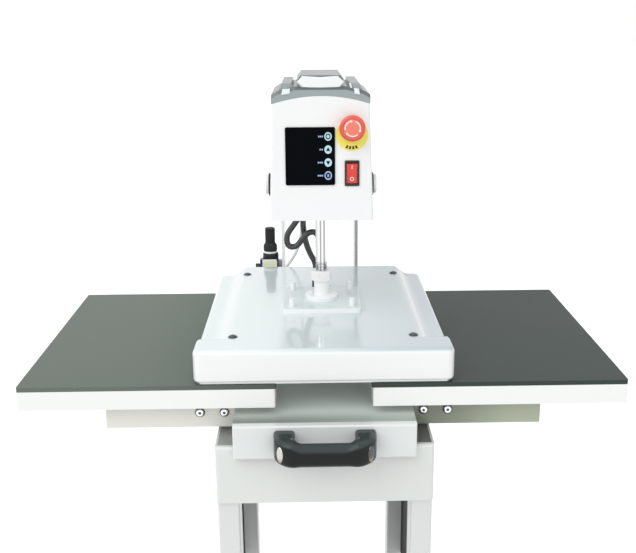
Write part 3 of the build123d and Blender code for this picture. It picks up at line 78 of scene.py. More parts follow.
def fade(nodes, links, factor, first, second):
    """Mix of two colours, each a tuple or a socket: the second one where the factor is 1."""
    mix = nodes.new("ShaderNodeMix")
    mix.data_type = "RGBA"
    links.new(factor, mix.inputs["Factor"])
    for name, source in (("A", first), ("B", second)):
        if isinstance(source, tuple):
            mix.inputs[name].default_value = [*source, 1]
        else:
            links.new(source, mix.inputs[name])
    return mix.outputs["Result"]


def soft_step(nodes, links, vector, axis, low, high):
    """0 to 1, eased at both ends, as one axis of the vector goes from low to high."""
    split = nodes.new("ShaderNodeSeparateXYZ")
    links.new(vector, split.inputs["Vector"])
    place = nodes.new("ShaderNodeMapRange")
    place.interpolation_type = "SMOOTHSTEP"
    place.inputs["From Min"].default_value = low
    place.inputs["From Max"].default_value = high
    links.new(split.outputs[axis], place.inputs["Value"])
    return place.outputs["Result"]


def noise(nodes, links, vector, scale, detail):
    texture = nodes.new("ShaderNodeTexNoise")
    texture.inputs["Scale"].default_value = scale
    texture.inputs["Detail"].default_value = detail
    links.new(vector, texture.inputs["Vector"])
    return texture.outputs["Fac"]


LOOKS_UP = (0.1, 0.75)  # rise of a face's normal at which the painted light and shade on the tops starts and is full
GRAIN_HEIGHT = 0.0004


def principled(name, colour, roughness, metallic=0.0, coat=0.0, specular=0.5, transmission=0.0,
               vary=0.04, vary_scale=6.0, bump=0.0, bump_scale=300.0, stretch=(1, 1, 1),
               rough_vary=0.05, coat_rough=0.05, across=(), painted_top=None):
    """A painted, moulded or metal surface: its colour drifts a little and its grain is a bump.

    across = [(axis, from, to, colour)] fades to other colours along an axis, in metres, as painted light and shade.
    painted_top = painted light and shade on the faces that look up: one colour, or (left colour, from, to, right
    colour) along X.
    """
    m = bpy.data.materials.new(name)
    m.use_nodes = True
    nodes, links = m.node_tree.nodes, m.node_tree.links
    bsdf = nodes["Principled BSDF"]
    bsdf.inputs["Metallic"].default_value = metallic
    bsdf.inputs["Coat Weight"].default_value = coat
    bsdf.inputs["Coat Roughness"].default_value = coat_rough
    bsdf.inputs["Specular IOR Level"].default_value = specular
    bsdf.inputs["Transmission Weight"].default_value = transmission
    place = nodes.new("ShaderNodeTexCoord").outputs["Object"]
    mapping = nodes.new("ShaderNodeMapping")
    mapping.inputs["Scale"].default_value = stretch
    links.new(place, mapping.inputs["Vector"])
    stretched = mapping.outputs["Vector"]
    drift = noise(nodes, links, stretched, vary_scale, 3)
    tint = fade(nodes, links, drift, tuple(max(0, c * (1 - vary)) for c in colour),
                tuple(min(1, c * (1 + vary)) for c in colour))
    for axis, low, high, other in across:
        tint = fade(nodes, links, soft_step(nodes, links, place, axis, low, high), tint, other)
    if painted_top:
        normal = nodes.new("ShaderNodeNewGeometry").outputs["Normal"]
        top = painted_top
        if isinstance(painted_top[0], tuple):
            left_tint, low, high, right_tint = painted_top
            top = fade(nodes, links, soft_step(nodes, links, place, "X", low, high), left_tint, right_tint)
        tint = fade(nodes, links, soft_step(nodes, links, normal, "Z", *LOOKS_UP), tint, top)
    links.new(tint, bsdf.inputs["Base Color"])
    rough = nodes.new("ShaderNodeMapRange")
    rough.inputs["To Min"].default_value = max(0.02, roughness - rough_vary)
    rough.inputs["To Max"].default_value = min(1, roughness + rough_vary)
    links.new(drift, rough.inputs["Value"])
    links.new(rough.outputs["Result"], bsdf.inputs["Roughness"])
    if bump:
        height = nodes.new("ShaderNodeBump")
        height.inputs["Strength"].default_value = bump
        height.inputs["Distance"].default_value = GRAIN_HEIGHT
        links.new(noise(nodes, links, stretched, bump_scale, 2), height.inputs["Height"])
        links.new(height.outputs["Normal"], bsdf.inputs["Normal"])
    return m


# ---------- camera: the photo's viewing angle ----------
PHOTO_WIDTH, PHOTO_MIDDLE, FOCAL = 636.0, 332.1, 930.0  # pixels
CAMERA_PLACE = (-18.0, -1597.9, 551.2)
YAW, PITCH, ROLL = math.radians(1.322), math.radians(15.65), math.radians(-0.284)

cam_data = bpy.data.cameras.new("camera")
cam_data.sensor_width = 36.0
cam_data.lens = FOCAL / PHOTO_WIDTH * 36.0
cam_data.shift_x = (PHOTO_WIDTH / 2 - PHOTO_MIDDLE) / PHOTO_WIDTH
cam_data.clip_end = 100.0
cam = link(bpy.data.objects.new("camera", cam_data))
forward = Vector((math.sin(YAW) * math.cos(PITCH), math.cos(YAW) * math.cos(PITCH), -math.sin(PITCH)))
right = Vector((math.cos(YAW), -math.sin(YAW), 0.0))
above = right.cross(forward)
cam_x = math.cos(ROLL) * right + math.sin(ROLL) * above
cam_y = -math.sin(ROLL) * right + math.cos(ROLL) * above
turn = Matrix((cam_x, cam_y, -forward)).transposed()
cam.matrix_world = Matrix.Translation(mm(*CAMERA_PLACE)) @ turn.to_4x4()
scene.camera = cam


# ---------- conduits and air tube ----------
def hose(name, node, route, diameter, material, ends=("frame", None), sides=12):
    """A smooth hose through the route's points, as a mesh tube round its NURBS line."""
    curve = bpy.data.curves.new(name + "_line", "CURVE")
    curve.dimensions = "3D"
    curve.resolution_u = 12
    spline = curve.splines.new("NURBS")
    spline.points.add(len(route) - 1)
    for point, place in zip(spline.points, route):
        point.co = (*mm(*place), 1)
    spline.order_u = 3
    spline.use_endpoint_u = True
    holder = link(bpy.data.objects.new(name + "_line", curve))
    bpy.context.view_layer.update()
    graph = bpy.context.evaluated_depsgraph_get()
    line = bpy.data.meshes.new_from_object(holder.evaluated_get(graph))
    curve.bevel_depth = diameter / 2
    curve.bevel_resolution = sides
    curve.use_fill_caps = True
    bpy.context.view_layer.update()
    graph = bpy.context.evaluated_depsgraph_get()
    tube = bpy.data.meshes.new_from_object(holder.evaluated_get(graph))
    bpy.data.objects.remove(holder)
    tube.materials.clear()
    tube.materials.append(material)
    for p in tube.polygons:
        p.use_smooth = True
    obj = link(bpy.data.objects.new(name, tube))
    if ends[1]:
        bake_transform(obj)
    else:
        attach(obj, ends[0])
    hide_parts(node)
    return obj


conduit_black = principled("conduit_black", (0.022, 0.024, 0.026), 0.34, coat=0.5, vary=0.35, vary_scale=60,
                           bump=0.5, bump_scale=700, coat_rough=0.2)
tube_clear = principled("tube_clear", (0.70, 0.74, 0.75), 0.10, transmission=0.6, vary=0.02, coat=0.5)

hose("heater_hose", "heater_conduit",
     [(-34, 80, 226), (-34, 80, 204), (-47, 80, 184), (-64, 80, 161), (-61, 80, 139), (-45, 80, 139),
      (-34, 80, 154), (-22, 80, 167), (-8, 80, 167), (0, 80, 146), (5, 80, 112), (5, 80, 71)],
     0.011, conduit_black, ("frame", "press"))
hose("sensor_hose", "sensor_conduit",
     [(-33, 99, 226), (-33, 99, 182), (-30, 99, 150), (-21, 99, 122), (-8, 99, 100), (-8, 99, 71)],
     0.011, conduit_black, ("frame", "press"))
hose("air_line", "air_tube",
     [(-39, 262, 226), (-39, 262, 176), (-36.5, 262, 126), (-45, 262, 88), (-64, 262, 58),
      (-83.25, 261, 38), (-83.25, 277, 38)],
     0.006, tube_clear)

# ---------- materials ----------
FINE_PAINT = {"vary": 0.012, "vary_scale": 3, "bump": 0.05, "bump_scale": 700}
FRAME_PAINT = {"coat": 0.3, "vary": 0.015, "vary_scale": 3, "bump": 0.06, "bump_scale": 650}

white = principled("white_paint", (0.91, 0.925, 0.925), 0.32, coat=0.35, **FINE_PAINT)
tray_white = principled("tray_white", (0.90, 0.915, 0.90), 0.30, coat=0.4, **FINE_PAINT)
# The right column plate is painted darker grey, towards +X: painted shade.
column_white_painted_shade = principled("column_white_painted_shade", (0.90, 0.91, 0.91), 0.32, coat=0.3, **FINE_PAINT,
                          across=[("X", -0.02, 0.06, (0.42, 0.425, 0.43))])
apron_white = principled("apron_white", (0.76, 0.795, 0.79), 0.30, coat=0.4, vary=0.015, vary_scale=3,
                         bump=0.05, bump_scale=700)
base_white = principled("base_white", (0.74, 0.77, 0.75), 0.34, **FRAME_PAINT)
leg_white = principled("leg_white", (0.72, 0.74, 0.73), 0.36, **FRAME_PAINT)
# The top plate's grey is partly painted shade under the carriage, and it darkens towards +X: painted shade.
plate_grey_painted_shade = principled("plate_grey_painted_shade", (0.34, 0.36, 0.345), 0.38, vary=0.05, vary_scale=8, bump=0.1,
                        bump_scale=500, across=[("X", -0.05, 0.15, (0.16, 0.165, 0.16))])
# Faces that look up are painted darker blue-grey: painted shade.
flange_paint = principled("flange_paint", (0.90, 0.915, 0.915), 0.28, coat=0.4, vary=0.012, vary_scale=3,
                          painted_top=(0.68, 0.76, 0.77))
# Black side plates between the front and rear legs stand in for the shade there: painted shade.
brace_painted_shade = principled("brace_painted_shade", (0.006, 0.007, 0.007), 0.55, specular=0.15, vary=0.12, vary_scale=8,
                         bump=0.1, bump_scale=500)
# Cream arms; the right arm is painted dark olive grey, lightening towards its outer end: painted shade.
arm_paint = principled("arm_paint", (0.84, 0.84, 0.78), 0.34, coat=0.25, vary=0.03, vary_scale=5, bump=0.05,
                       across=[("X", -0.04, 0.06, (0.22, 0.25, 0.19)), ("X", 0.18, 0.32, (0.43, 0.48, 0.36))])
# The deck's grey-green is painted shade and painted reflection on its sheet, lighter towards +X, and near white at the
# front edge as painted light.
deck_steel = principled("deck_steel", (0.26, 0.29, 0.27), 0.22, coat=0.5, vary=0.05, vary_scale=2.5,
                        bump=0.05, bump_scale=60, stretch=(1, 30, 1),
                        across=[("X", -0.12, 0.08, (0.40, 0.46, 0.43)), ("Y", -0.272, -0.225, (0.92, 1.0, 0.94))])
rail_steel = principled("rail_steel", (0.52, 0.53, 0.54), 0.25, metallic=1.0, vary=0.05, vary_scale=4, bump=0.06,
                        bump_scale=80, stretch=(1, 20, 20))
# Pads painted darker towards +X: painted shade.
silicone = principled("silicone", (0.126, 0.156, 0.130), 0.50, specular=0.35, vary=0.06, vary_scale=2.2, bump=0.12,
                      bump_scale=1400, rough_vary=0.06, across=[("X", -0.36, 0.14, (0.026, 0.040, 0.036))])
gloss_black = principled("gloss_black", (0.012, 0.014, 0.014), 0.20, coat=0.35, specular=0.3, vary=0.15,
                         vary_scale=9)
# Faces that look up are painted lighter grey: painted sheen.
handle_black = principled("handle_black", (0.005, 0.007, 0.007), 0.20, coat=0.20, specular=0.16, vary=0.2,
                          vary_scale=9, bump=0.03, bump_scale=500, painted_top=(0.040, 0.052, 0.052))
# Pale metal for the handle's black oval ends stands in for their glint: painted highlight; darker towards +X as painted
# shade, and browner towards the bottom.
handle_end_painted_highlight = principled("handle_end_painted_highlight", (0.62, 0.62, 0.58), 0.10, metallic=1.0, vary=0.1, vary_scale=60,
                       across=[("X", -0.02, 0.02, (0.10, 0.11, 0.11)), ("Z", 0.800, 0.788, (0.40, 0.27, 0.16))])
satin_black = principled("satin_black", (0.016, 0.017, 0.018), 0.42, specular=0.3, vary=0.15, vary_scale=12,
                         bump=0.08, bump_scale=900)
rubber = principled("rubber", (0.016, 0.016, 0.017), 0.75, vary=0.15, vary_scale=20, bump=0.2, bump_scale=900)
# Faces that look up are painted darker blue-grey, darker still towards +X: painted shade.
cover_blue = principled("cover_blue", (0.89, 0.91, 0.90), 0.20, coat=0.8, vary=0.012, vary_scale=2, coat_rough=0.05,
                        rough_vary=0.02, painted_top=((0.80, 0.88, 0.88), -0.16, 0.19, (0.50, 0.585, 0.63)))
# Faces that look up are painted darker grey: painted shade.
cap_grey = principled("cap_grey", (0.31, 0.37, 0.375), 0.34, coat=0.3, vary=0.03, vary_scale=4, bump=0.05,
                      painted_top=(0.10, 0.12, 0.122))
# Pale copy of the cap's grey for its lit facets: painted highlight.
cap_painted_highlight = principled("cap_painted_highlight", (0.88, 0.92, 0.92), 0.26, coat=0.5, vary=0.015, vary_scale=4)
alu = principled("alu", (0.66, 0.67, 0.68), 0.30, metallic=1.0, vary=0.04, vary_scale=5, bump=0.06, bump_scale=90,
                 stretch=(1, 25, 1))
thread_grey = principled("thread_grey", (0.20, 0.21, 0.21), 0.25, metallic=1.0, vary=0.1, vary_scale=60)
chrome = principled("chrome", (0.90, 0.91, 0.91), 0.07, metallic=1.0, vary=0.02, vary_scale=30, rough_vary=0.01)
# Light and dark stripes across the rod, along X: painted reflections.
rod_painted_reflections = [("X", -0.0070, -0.0055, (0.97, 0.97, 0.97)), ("X", -0.0036, -0.0022, (0.36, 0.37, 0.37)),
               ("X", -0.0006, 0.0008, (0.90, 0.91, 0.91)), ("X", 0.0026, 0.0040, (0.42, 0.43, 0.43)),
               ("X", 0.0062, 0.0074, (0.90, 0.90, 0.90))]
rod_chrome = principled("rod_chrome", (0.60, 0.61, 0.61), 0.07, metallic=1.0, vary=0.02, vary_scale=30,
                        rough_vary=0.01, across=rod_painted_reflections)
zinc = principled("zinc", (0.91, 0.91, 0.89), 0.26, coat=0.5, vary=0.03, vary_scale=30)
bolt_dark = principled("bolt_dark", (0.035, 0.050, 0.056), 0.22, metallic=0.4, coat=0.5, vary=0.1, vary_scale=60)
fibre = principled("fibre", (0.62, 0.56, 0.42), 0.85, vary=0.08, vary_scale=60, bump=0.4, bump_scale=500)
element_steel = principled("element_steel", (0.20, 0.19, 0.18), 0.45, metallic=0.9, vary=0.12, vary_scale=30)
circuit = principled("circuit", (0.02, 0.13, 0.06), 0.35, vary=0.15, vary_scale=150, coat=0.3)
yellow = principled("yellow", (0.95, 0.86, 0.10), 0.30, coat=0.4, vary=0.03, vary_scale=20)
red = principled("red", (0.80, 0.080, 0.045), 0.24, coat=0.5, vary=0.05, vary_scale=20)
# Lighter copy of the button red for its front face: painted light.
red_painted_light = principled("red_painted_light", (0.88, 0.20, 0.13), 0.30, coat=0.4, vary=0.05, vary_scale=20)
rocker_red = principled("rocker_red", (0.86, 0.035, 0.018), 0.24, coat=0.4, vary=0.05, vary_scale=20)
print_white = principled("print_white", (0.90, 0.89, 0.87), 0.35, vary=0.02, vary_scale=40)
print_dark = principled("print_dark", (0.02, 0.02, 0.02), 0.4, vary=0.1, vary_scale=40)
icon_pale = principled("icon_pale", (0.52, 0.78, 0.86), 0.30, vary=0.04, vary_scale=60)
icon_blue = principled("icon_blue", (0.38, 0.52, 0.82), 0.30, vary=0.04, vary_scale=60)
button_white = principled("button_white", (0.90, 0.91, 0.90), 0.26, coat=0.5, vary=0.02, vary_scale=30)
navy = principled("navy", (0.020, 0.022, 0.20), 0.30, coat=0.3, vary=0.08, vary_scale=30)
bowl_clear = principled("bowl_clear", (0.86, 0.90, 0.92), 0.06, transmission=0.9, vary=0.02, coat=0.4)
dial = principled("dial", (0.84, 0.86, 0.66), 0.35, coat=0.4, vary=0.03, vary_scale=40)
screen = principled("screen", (0.0012, 0.0022, 0.0035), 0.22, specular=0.03, vary=0.1, vary_scale=8,
                    rough_vary=0.02)

dress = {
    white: "head_casing head_rear_cover regulator_bracket rod_coupling flange_studs",
    column_white_painted_shade: "column_plates",
    flange_paint: "flange_plate",
    apron_white: "carriage_apron",
    base_white: "base_shell",
    leg_white: "stand_legs floor_frame",
    tray_white: "tray_left tray_right",
    plate_grey_painted_shade: "base_top_plate",
    brace_painted_shade: "base_supports",
    arm_paint: "table_arms",
    deck_steel: "carriage_deck",
    rail_steel: "bearing_blocks carriage_frame guide_rails",
    silicone: "silicone_pads",
    gloss_black: "rocker_housing start_button_rings cover_glands air_fittings",
    handle_black: "handle",
    satin_black: "levelling_feet solenoid_valve estop_body mains_inlet regulator_knob",
    rubber: "tube_plugs stop_buffers",
    cover_blue: "platen_cover",
    cap_grey: "head_cap",
    alu: "cylinder_base_block cylinder_barrel cylinder_top_block piston heating_plate",
    chrome: "arm_bolts",
    rod_chrome: "piston_rod",
    zinc: "lock_nut",
    bolt_dark: "side_screws cover_screws",
    fibre: "insulation_board",
    element_steel: "heating_element",
    circuit: "control_board",
    yellow: "estop_label",
    red: "estop_button",
    rocker_red: "power_rocker",
    button_white: "start_button_left start_button_right",
    navy: "regulator_body",
    bowl_clear: "regulator_bowl",
    dial: "pressure_gauge",
    screen: "display_panel",
}
for material, names in dress.items():
    for name in names.split():
        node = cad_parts[name]
        node.data.materials.clear()
        node.data.materials.append(material)

# ---------- platen cover: one pressed sheet with a soft-edged plateau ----------
HALF_X, HALF_Y, CORNER, ROUND = 203.5, 251.0, 12.0, 8.0
COVER_TOP, COVER_FALL, COVER_FOOT = 57.0, 17.0, 5.0  # plateau, its fall to the sides, lower edge
SIDE_FROM, SIDE_WIDTH = 148.0, 32.0  # slope at the left and right
FRONT_FROM, FRONT_WIDTH = -196.0, 14.0  # end of the raised front


def ease(t):
    t = max(0.0, min(1.0, t))
    return t * t * (3 - 2 * t)


def outline(inset, long_points=124, short_points=90, arc_points=10):
    """Rounded rectangle round the cover, moved inward by inset."""
    hx, hy = HALF_X - inset, HALF_Y - inset
    r = max(CORNER - inset, min(3.0, hx * 0.4))
    points = []
    sides = (
        ((hx, -hy + r), (hx, hy - r), long_points, 0),
        ((hx - r, hy), (-hx + r, hy), short_points, 90),
        ((-hx, hy - r), (-hx, -hy + r), long_points, 180),
        ((-hx + r, -hy), (hx - r, -hy), short_points, 270),
    )
    for (x0, y0), (x1, y1), count, start in sides:
        for i in range(count):
            t = i / (count - 1)
            points.append((x0 + (x1 - x0) * t, y0 + (y1 - y0) * t))
        centre = {0: (hx - r, hy - r), 90: (-hx + r, hy - r),
                  180: (-hx + r, -hy + r), 270: (hx - r, -hy + r)}[start]
        for i in range(1, arc_points):
            a = math.radians(start + 90 * i / arc_points)
            points.append((centre[0] + r * math.cos(a), centre[1] + r * math.sin(a)))
    return points


def cover_height(x, y):
    side = ease((abs(x) - SIDE_FROM) / SIDE_WIDTH)
    block = 1.0 - ease((y - FRONT_FROM) / FRONT_WIDTH)
    return COVER_TOP - COVER_FALL * side * (1.0 - block)


insets = [0, 0.4, 1.2, 2.4, 4, 6, 8, 12, 18, *range(24, 57, 3), 60, 72, 90, 115, 145, 175, 199]
rings = []
for inset in insets:
    drop = ROUND - math.sqrt(max(0.0, ROUND**2 - (ROUND - min(inset, ROUND)) ** 2))
    rings.append([(x, y, cover_height(x, y) - drop) for x, y in outline(inset)])
skirt = []
for share in (0.0, 0.25, 0.6, 0.93, 1.0):
    tuck = 0.0 if share < 1.0 else 0.6
    skirt.append([(x * (1 - tuck / HALF_X), y * (1 - tuck / HALF_Y), COVER_FOOT + (z - COVER_FOOT) * (1 - share))
                  for x, y, z in rings[0]])
layers = skirt[::-1][:-1] + rings
count = len(layers[0])
verts = [v for layer in layers for v in layer]
faces = []
for level in range(len(layers) - 1):
    for i in range(count):
        j = (i + 1) % count
        faces.append((level * count + i, level * count + j,
                      (level + 1) * count + j, (level + 1) * count + i))
faces.append(tuple((len(layers) - 1) * count + i for i in range(count)))
cover = mesh_object("cover_sheet", verts, faces, cover_blue, smooth=True)
thick = cover.modifiers.new("sheet", "SOLIDIFY")
thick.thickness = 0.002
thick.offset = -1
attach(cover, "press")
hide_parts("platen_cover")


# ---------- small tools for the pieces below ----------
def solid(name, verts, faces, material, body, slot, replaces=(), smooth=False):
    obj = mesh_object(name, verts, faces, material, smooth)
    clean = bmesh.new()
    clean.from_mesh(obj.data)
    bmesh.ops.remove_doubles(clean, verts=clean.verts, dist=1e-6)
    bmesh.ops.recalc_face_normals(clean, faces=clean.faces)
    clean.to_mesh(obj.data)
    clean.free()
    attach(obj, body)
    if replaces:
        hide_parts(*replaces)
    return obj


def prism(name, rings, material, body, slot, **options):
    """Closed solid through rings of equal length, capped at both ends."""
    n = len(rings[0])
    verts = [v for ring in rings for v in ring]
    faces = []
    for k in range(len(rings) - 1):
        for i in range(n):
            j = (i + 1) % n
            faces.append((k * n + i, k * n + j, (k + 1) * n + j, (k + 1) * n + i))
    faces.append(tuple(range(n)))
    faces.append(tuple((len(rings) - 1) * n + i for i in range(n)))
    return solid(name, verts, faces, material, body, slot, **options)


def shrink(outline_points, amount):
    """Outline moved towards its middle by about amount."""
    cx = sum(p[0] for p in outline_points) / len(outline_points)
    cz = sum(p[1] for p in outline_points) / len(outline_points)
    result = []
    for x, z in outline_points:
        reach = math.hypot(x - cx, z - cz) or 1.0
        k = max(0.0, 1 - amount / reach)
        result.append((cx + (x - cx) * k, cz + (z - cz) * k))
    return result


def plate(name, points, front, back, material, body, slot, edge=0.6):
    """Plate in the XZ plane with a chamfered front rim; front and back are Y places."""
    step = edge if front < back else -edge
    rings = [[(x, back, z) for x, z in points], [(x, front + step, z) for x, z in points],
             [(x, front, z) for x, z in shrink(points, edge)]]
    return prism(name, rings, material, body, slot)


def turned(name, profile, centre, axis, material, body, slot, count=48, ribs=0, rib_depth=0.0, rib_from=0,
           rib_to=0, replaces=()):
    """Piece turned round Y or Z from (radius, place along the axis); ribs cut its rim between two rows."""
    cx, cy, cz = centre
    rings = []
    for row, (radius, along) in enumerate(profile):
        ring = []
        for i in range(count):
            a = 2 * math.pi * i / count
            r = radius
            if ribs and rib_from <= row <= rib_to:
                r -= rib_depth * (0.5 + 0.5 * math.cos(ribs * a)) ** 2
            if axis == "Y":
                ring.append((cx + r * math.cos(a), cy + along, cz + r * math.sin(a)))
            else:
                ring.append((cx + r * math.cos(a), cy + r * math.sin(a), cz + along))
        rings.append(ring)
    return prism(name, rings, material, body, slot, smooth=True, replaces=replaces)


def soften(obj, angle=35):
    """Mark the edges as sharp where smooth faces meet at a steep angle, in degrees."""
    for edge in obj.data.edges:
        edge.use_edge_sharp = False
    work = bmesh.new()
    work.from_mesh(obj.data)
    for edge in work.edges:
        if len(edge.link_faces) == 2:
            edge.smooth = edge.calc_face_angle() < math.radians(angle)
    work.to_mesh(obj.data)
    work.free()
    return obj


def tree_of(node):
    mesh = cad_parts[node].data
    return BVHTree.FromPolygons([v.co.copy() for v in mesh.vertices],
                                [tuple(p.vertices) for p in mesh.polygons])


RAY_START = -700  # in front of every piece


def mark(name, shapes, node, material, body, slot, proud=0.25, sink=0.5):
    """Raised print on a node's front: each shape is (outer points, inner points or None) in XZ."""
    tree = tree_of(node)

    def front(x, z):
        """Place of the node's front behind a point, or None beside the node."""
        hit = tree.ray_cast(mm(x, RAY_START, z), Vector((0, 1, 0)))[0]
        return hit.y * 1000 if hit else None

    starts = [front(*outer[0]) for outer, _ in shapes]
    beside = next((y for y in starts if y is not None), 0.0)

    def touch(x, z, lift):
        y = front(x, z)
        return (x, (beside if y is None else y) + lift, z)

    verts, faces = [], []
    for outer, inner in shapes:
        base, n = len(verts), len(outer)
        loops = [(outer, -proud), (outer, sink)] + ([(inner, -proud), (inner, sink)] if inner else [])
        for loop, lift in loops:
            verts += [touch(x, z, lift) for x, z in loop]
        for i in range(n):
            j = (i + 1) % n
            faces.append((base + i, base + j, base + n + j, base + n + i))
            if inner:
                faces.append((base + 2 * n + i, base + 2 * n + j, base + 3 * n + j, base + 3 * n + i))
                faces.append((base + i, base + j, base + 2 * n + j, base + 2 * n + i))
                faces.append((base + n + i, base + n + j, base + 3 * n + j, base + 3 * n + i))
        if not inner:
            faces.append(tuple(base + i for i in range(n)))
            faces.append(tuple(base + n + i for i in range(n)))
    return solid(name, verts, faces, material, body, slot)


def circle(cx, cz, r, count=32, squeeze=1.0):
    turns = [2 * math.pi * i / count for i in range(count)]
    return [(cx + r * math.cos(a), cz + squeeze * r * math.sin(a)) for a in turns]


def box_points(x0, z0, x1, z1):
    return [(x0, z0), (x1, z0), (x1, z1), (x0, z1)]


# ---------- head: painted highlights on the cap's facets, icons, stop button, switch marks ---
# Pale plates on the cap's front stand in for its sloped facets where light falls on them: painted highlight.
FACETS = {  # outline, front, back, chamfer
    "cap_ridge_facet": ([(-29.5, 459.4), (-1.0, 457.6), (27.5, 459.4), (38.0, 450.0), (30.5, 442.0), (-1.0, 440.6),
                         (-29.5, 442.0), (-38.0, 450.0)], -91.0, -80.0, 1.6),
    "cap_hump_facet_left": ([(-63.0, 430.2), (-49.4, 432.6), (-48.6, 440.4), (-61.0, 439.0)], -94.6, -84.0, 1.0),
    "cap_hump_facet_right": ([(54.4, 431.6), (62.8, 430.2), (60.8, 439.4), (52.6, 440.4)], -94.6, -84.0, 1.0),
    "cap_hump_slope_right": ([(48.6, 436.0), (51.6, 436.0), (48.4, 447.8), (45.4, 447.8)], -88.4, -80.0, 0.8),
}
for name, (points, front, back, edge) in FACETS.items():
    plate(name, points, front, back, cap_painted_highlight, "frame", "white_paint", edge=edge)

ICON_X, ICON_R = 11.2, 6.0
POWER_Z, UP_Z, DOWN_Z, KEYS_Z = 364.6, 343.5, 322.5, 301.2
TALL, TALLER = 1.15, 1.2  # the icons are taller than wide
mark("icon_rings", [(circle(ICON_X, POWER_Z, ICON_R, 32, TALL), circle(ICON_X, POWER_Z, 4.0, 32, TALLER)),
                    (circle(ICON_X, POWER_Z, 2.4, 20, TALLER), None)],
     "display_panel", icon_pale, "frame", "button_white")


def disc_with_arrow(cz, sign, side_points=11):
    """Pale disc with a triangular hole, as a strip between the rim and the triangle."""
    rim, hole = [], []
    corners = [(ICON_X, cz + sign * 3.9), (ICON_X - sign * 3.6, cz - sign * 2.4),
               (ICON_X + sign * 3.6, cz - sign * 2.4)]
    for side in range(3):
        (x0, z0), (x1, z1) = corners[side], corners[(side + 1) % 3]
        a0 = math.radians(90 * sign + 120 * side)
        for k in range(side_points):
            t = k / side_points
            a = a0 + math.radians(120) * t
            rim.append((ICON_X + ICON_R * math.cos(a), cz + TALL * ICON_R * math.sin(a)))
            hole.append((x0 + (x1 - x0) * t, z0 + (z1 - z0) * t))
    return rim, hole


mark("icon_up", [disc_with_arrow(UP_Z, 1)], "display_panel", icon_pale, "frame", "button_white")
mark("icon_down", [disc_with_arrow(DOWN_Z, -1)], "display_panel", icon_pale, "frame", "button_white")
mark("icon_keys", [(circle(ICON_X, KEYS_Z, ICON_R, 32, TALLER), circle(ICON_X, KEYS_Z, 4.2, 32, TALLER)),
                   (box_points(ICON_X - 1.3, KEYS_Z - 2.2, ICON_X + 1.3, KEYS_Z + 2.2), None)],
     "display_panel", icon_blue, "frame", "button_white")
DASH_HALF = 1.3
dash_rows = {POWER_Z: ((-4.6, -2.4), (-1.6, 0.4), (1.2, 2.8)), UP_Z: ((-2.6, -0.4), (0.6, 2.8)),
             DOWN_Z: ((-5.6, -3.4), (-2.6, -0.4), (0.4, 2.6)), KEYS_Z: ((-5.8, -3.6), (-2.8, -0.6), (0.2, 2.8))}
dashes = []
for cz, spans in dash_rows.items():
    dashes += [(box_points(x0, cz - DASH_HALF, x1, cz + DASH_HALF), None) for x0, x1 in spans]
mark("icon_dashes", dashes, "display_panel", icon_blue, "frame", "button_white", proud=0.15)

STOP_X, STOP_Z, LABEL_DROP = 50.0, 379.0, 12.0
soften(turned("stop_mushroom",
              [(16.6, -102.0), (16.8, -109.0), (19.6, -109.6), (20.7, -110.8), (21.0, -112.2), (20.8, -114.2),
               (20.0, -116.0), (18.6, -117.3), (16.9, -117.9), (15.6, -117.7), (14.9, -116.9), (9.0, -117.2),
               (3.0, -117.3)],
              (STOP_X, 0, STOP_Z), "Y", red, "estop", "button_red", count=72, replaces=("estop_button",)), 50)
# The stop button's front face is a lighter red: painted light.
turned("stop_face", [(14.8, -116.2), (14.6, -117.15), (13.4, -117.45), (7.0, -117.75), (2.0, -117.85)],
       (STOP_X, 0, STOP_Z), "Y", red_painted_light, "estop", "button_red", count=64)


def arc_arrow(start, sweep, r0=11.2, r1=13.0, barb=1.5, lead=16, count=18):
    """Curved arrow as one outline, running clockwise."""
    outer, inner = [], []
    for i in range(count):
        a = math.radians(start - sweep * i / (count - 1))
        outer.append((STOP_X + r1 * math.cos(a), STOP_Z + r1 * math.sin(a)))
        inner.append((STOP_X + r0 * math.cos(a), STOP_Z + r0 * math.sin(a)))
    tip = math.radians(start - sweep - lead)
    end = math.radians(start - sweep)
    head = [(STOP_X + (r1 + barb) * math.cos(end), STOP_Z + (r1 + barb) * math.sin(end)),
            (STOP_X + (r0 + r1) / 2 * math.cos(tip), STOP_Z + (r0 + r1) / 2 * math.sin(tip)),
            (STOP_X + (r0 - barb) * math.cos(end), STOP_Z + (r0 - barb) * math.sin(end))]
    return outer + head + inner[::-1]


ARROW_FRONT, ARROW_BACK = -118.0, -116.6
for number, start in enumerate((70, -50, 190)):
    points = arc_arrow(start, 84)
    n = len(points)
    half = (n - 3) // 2
    verts = [(x, y, z) for y in (ARROW_FRONT, ARROW_BACK) for x, z in points]
    faces = [(i, (i + 1) % n, n + (i + 1) % n, n + i) for i in range(n)]
    for shift in (0, n):
        for i in range(half - 1):
            faces.append((shift + i, shift + i + 1, shift + n - 2 - i, shift + n - 1 - i))
        faces.append(tuple(shift + half + k for k in (-1, 0, 1, 2, 3)))
    solid("stop_arrow_%d" % (number + 1), verts, faces, print_white, "estop", "button_white")

ticks = []
for degrees_at in (247, 261, 275, 289):
    a, half_tick = math.radians(degrees_at), math.radians(4.4)
    corners = ((18.4, a - half_tick), (23.6, a - half_tick), (23.6, a + half_tick), (18.4, a + half_tick))
    ticks.append(([(STOP_X + r * math.cos(b), STOP_Z - LABEL_DROP + r * math.sin(b)) for r, b in corners], None))
mark("stop_label_ticks", ticks, "estop_label", print_dark, "frame", "black_plastic", proud=0.2)

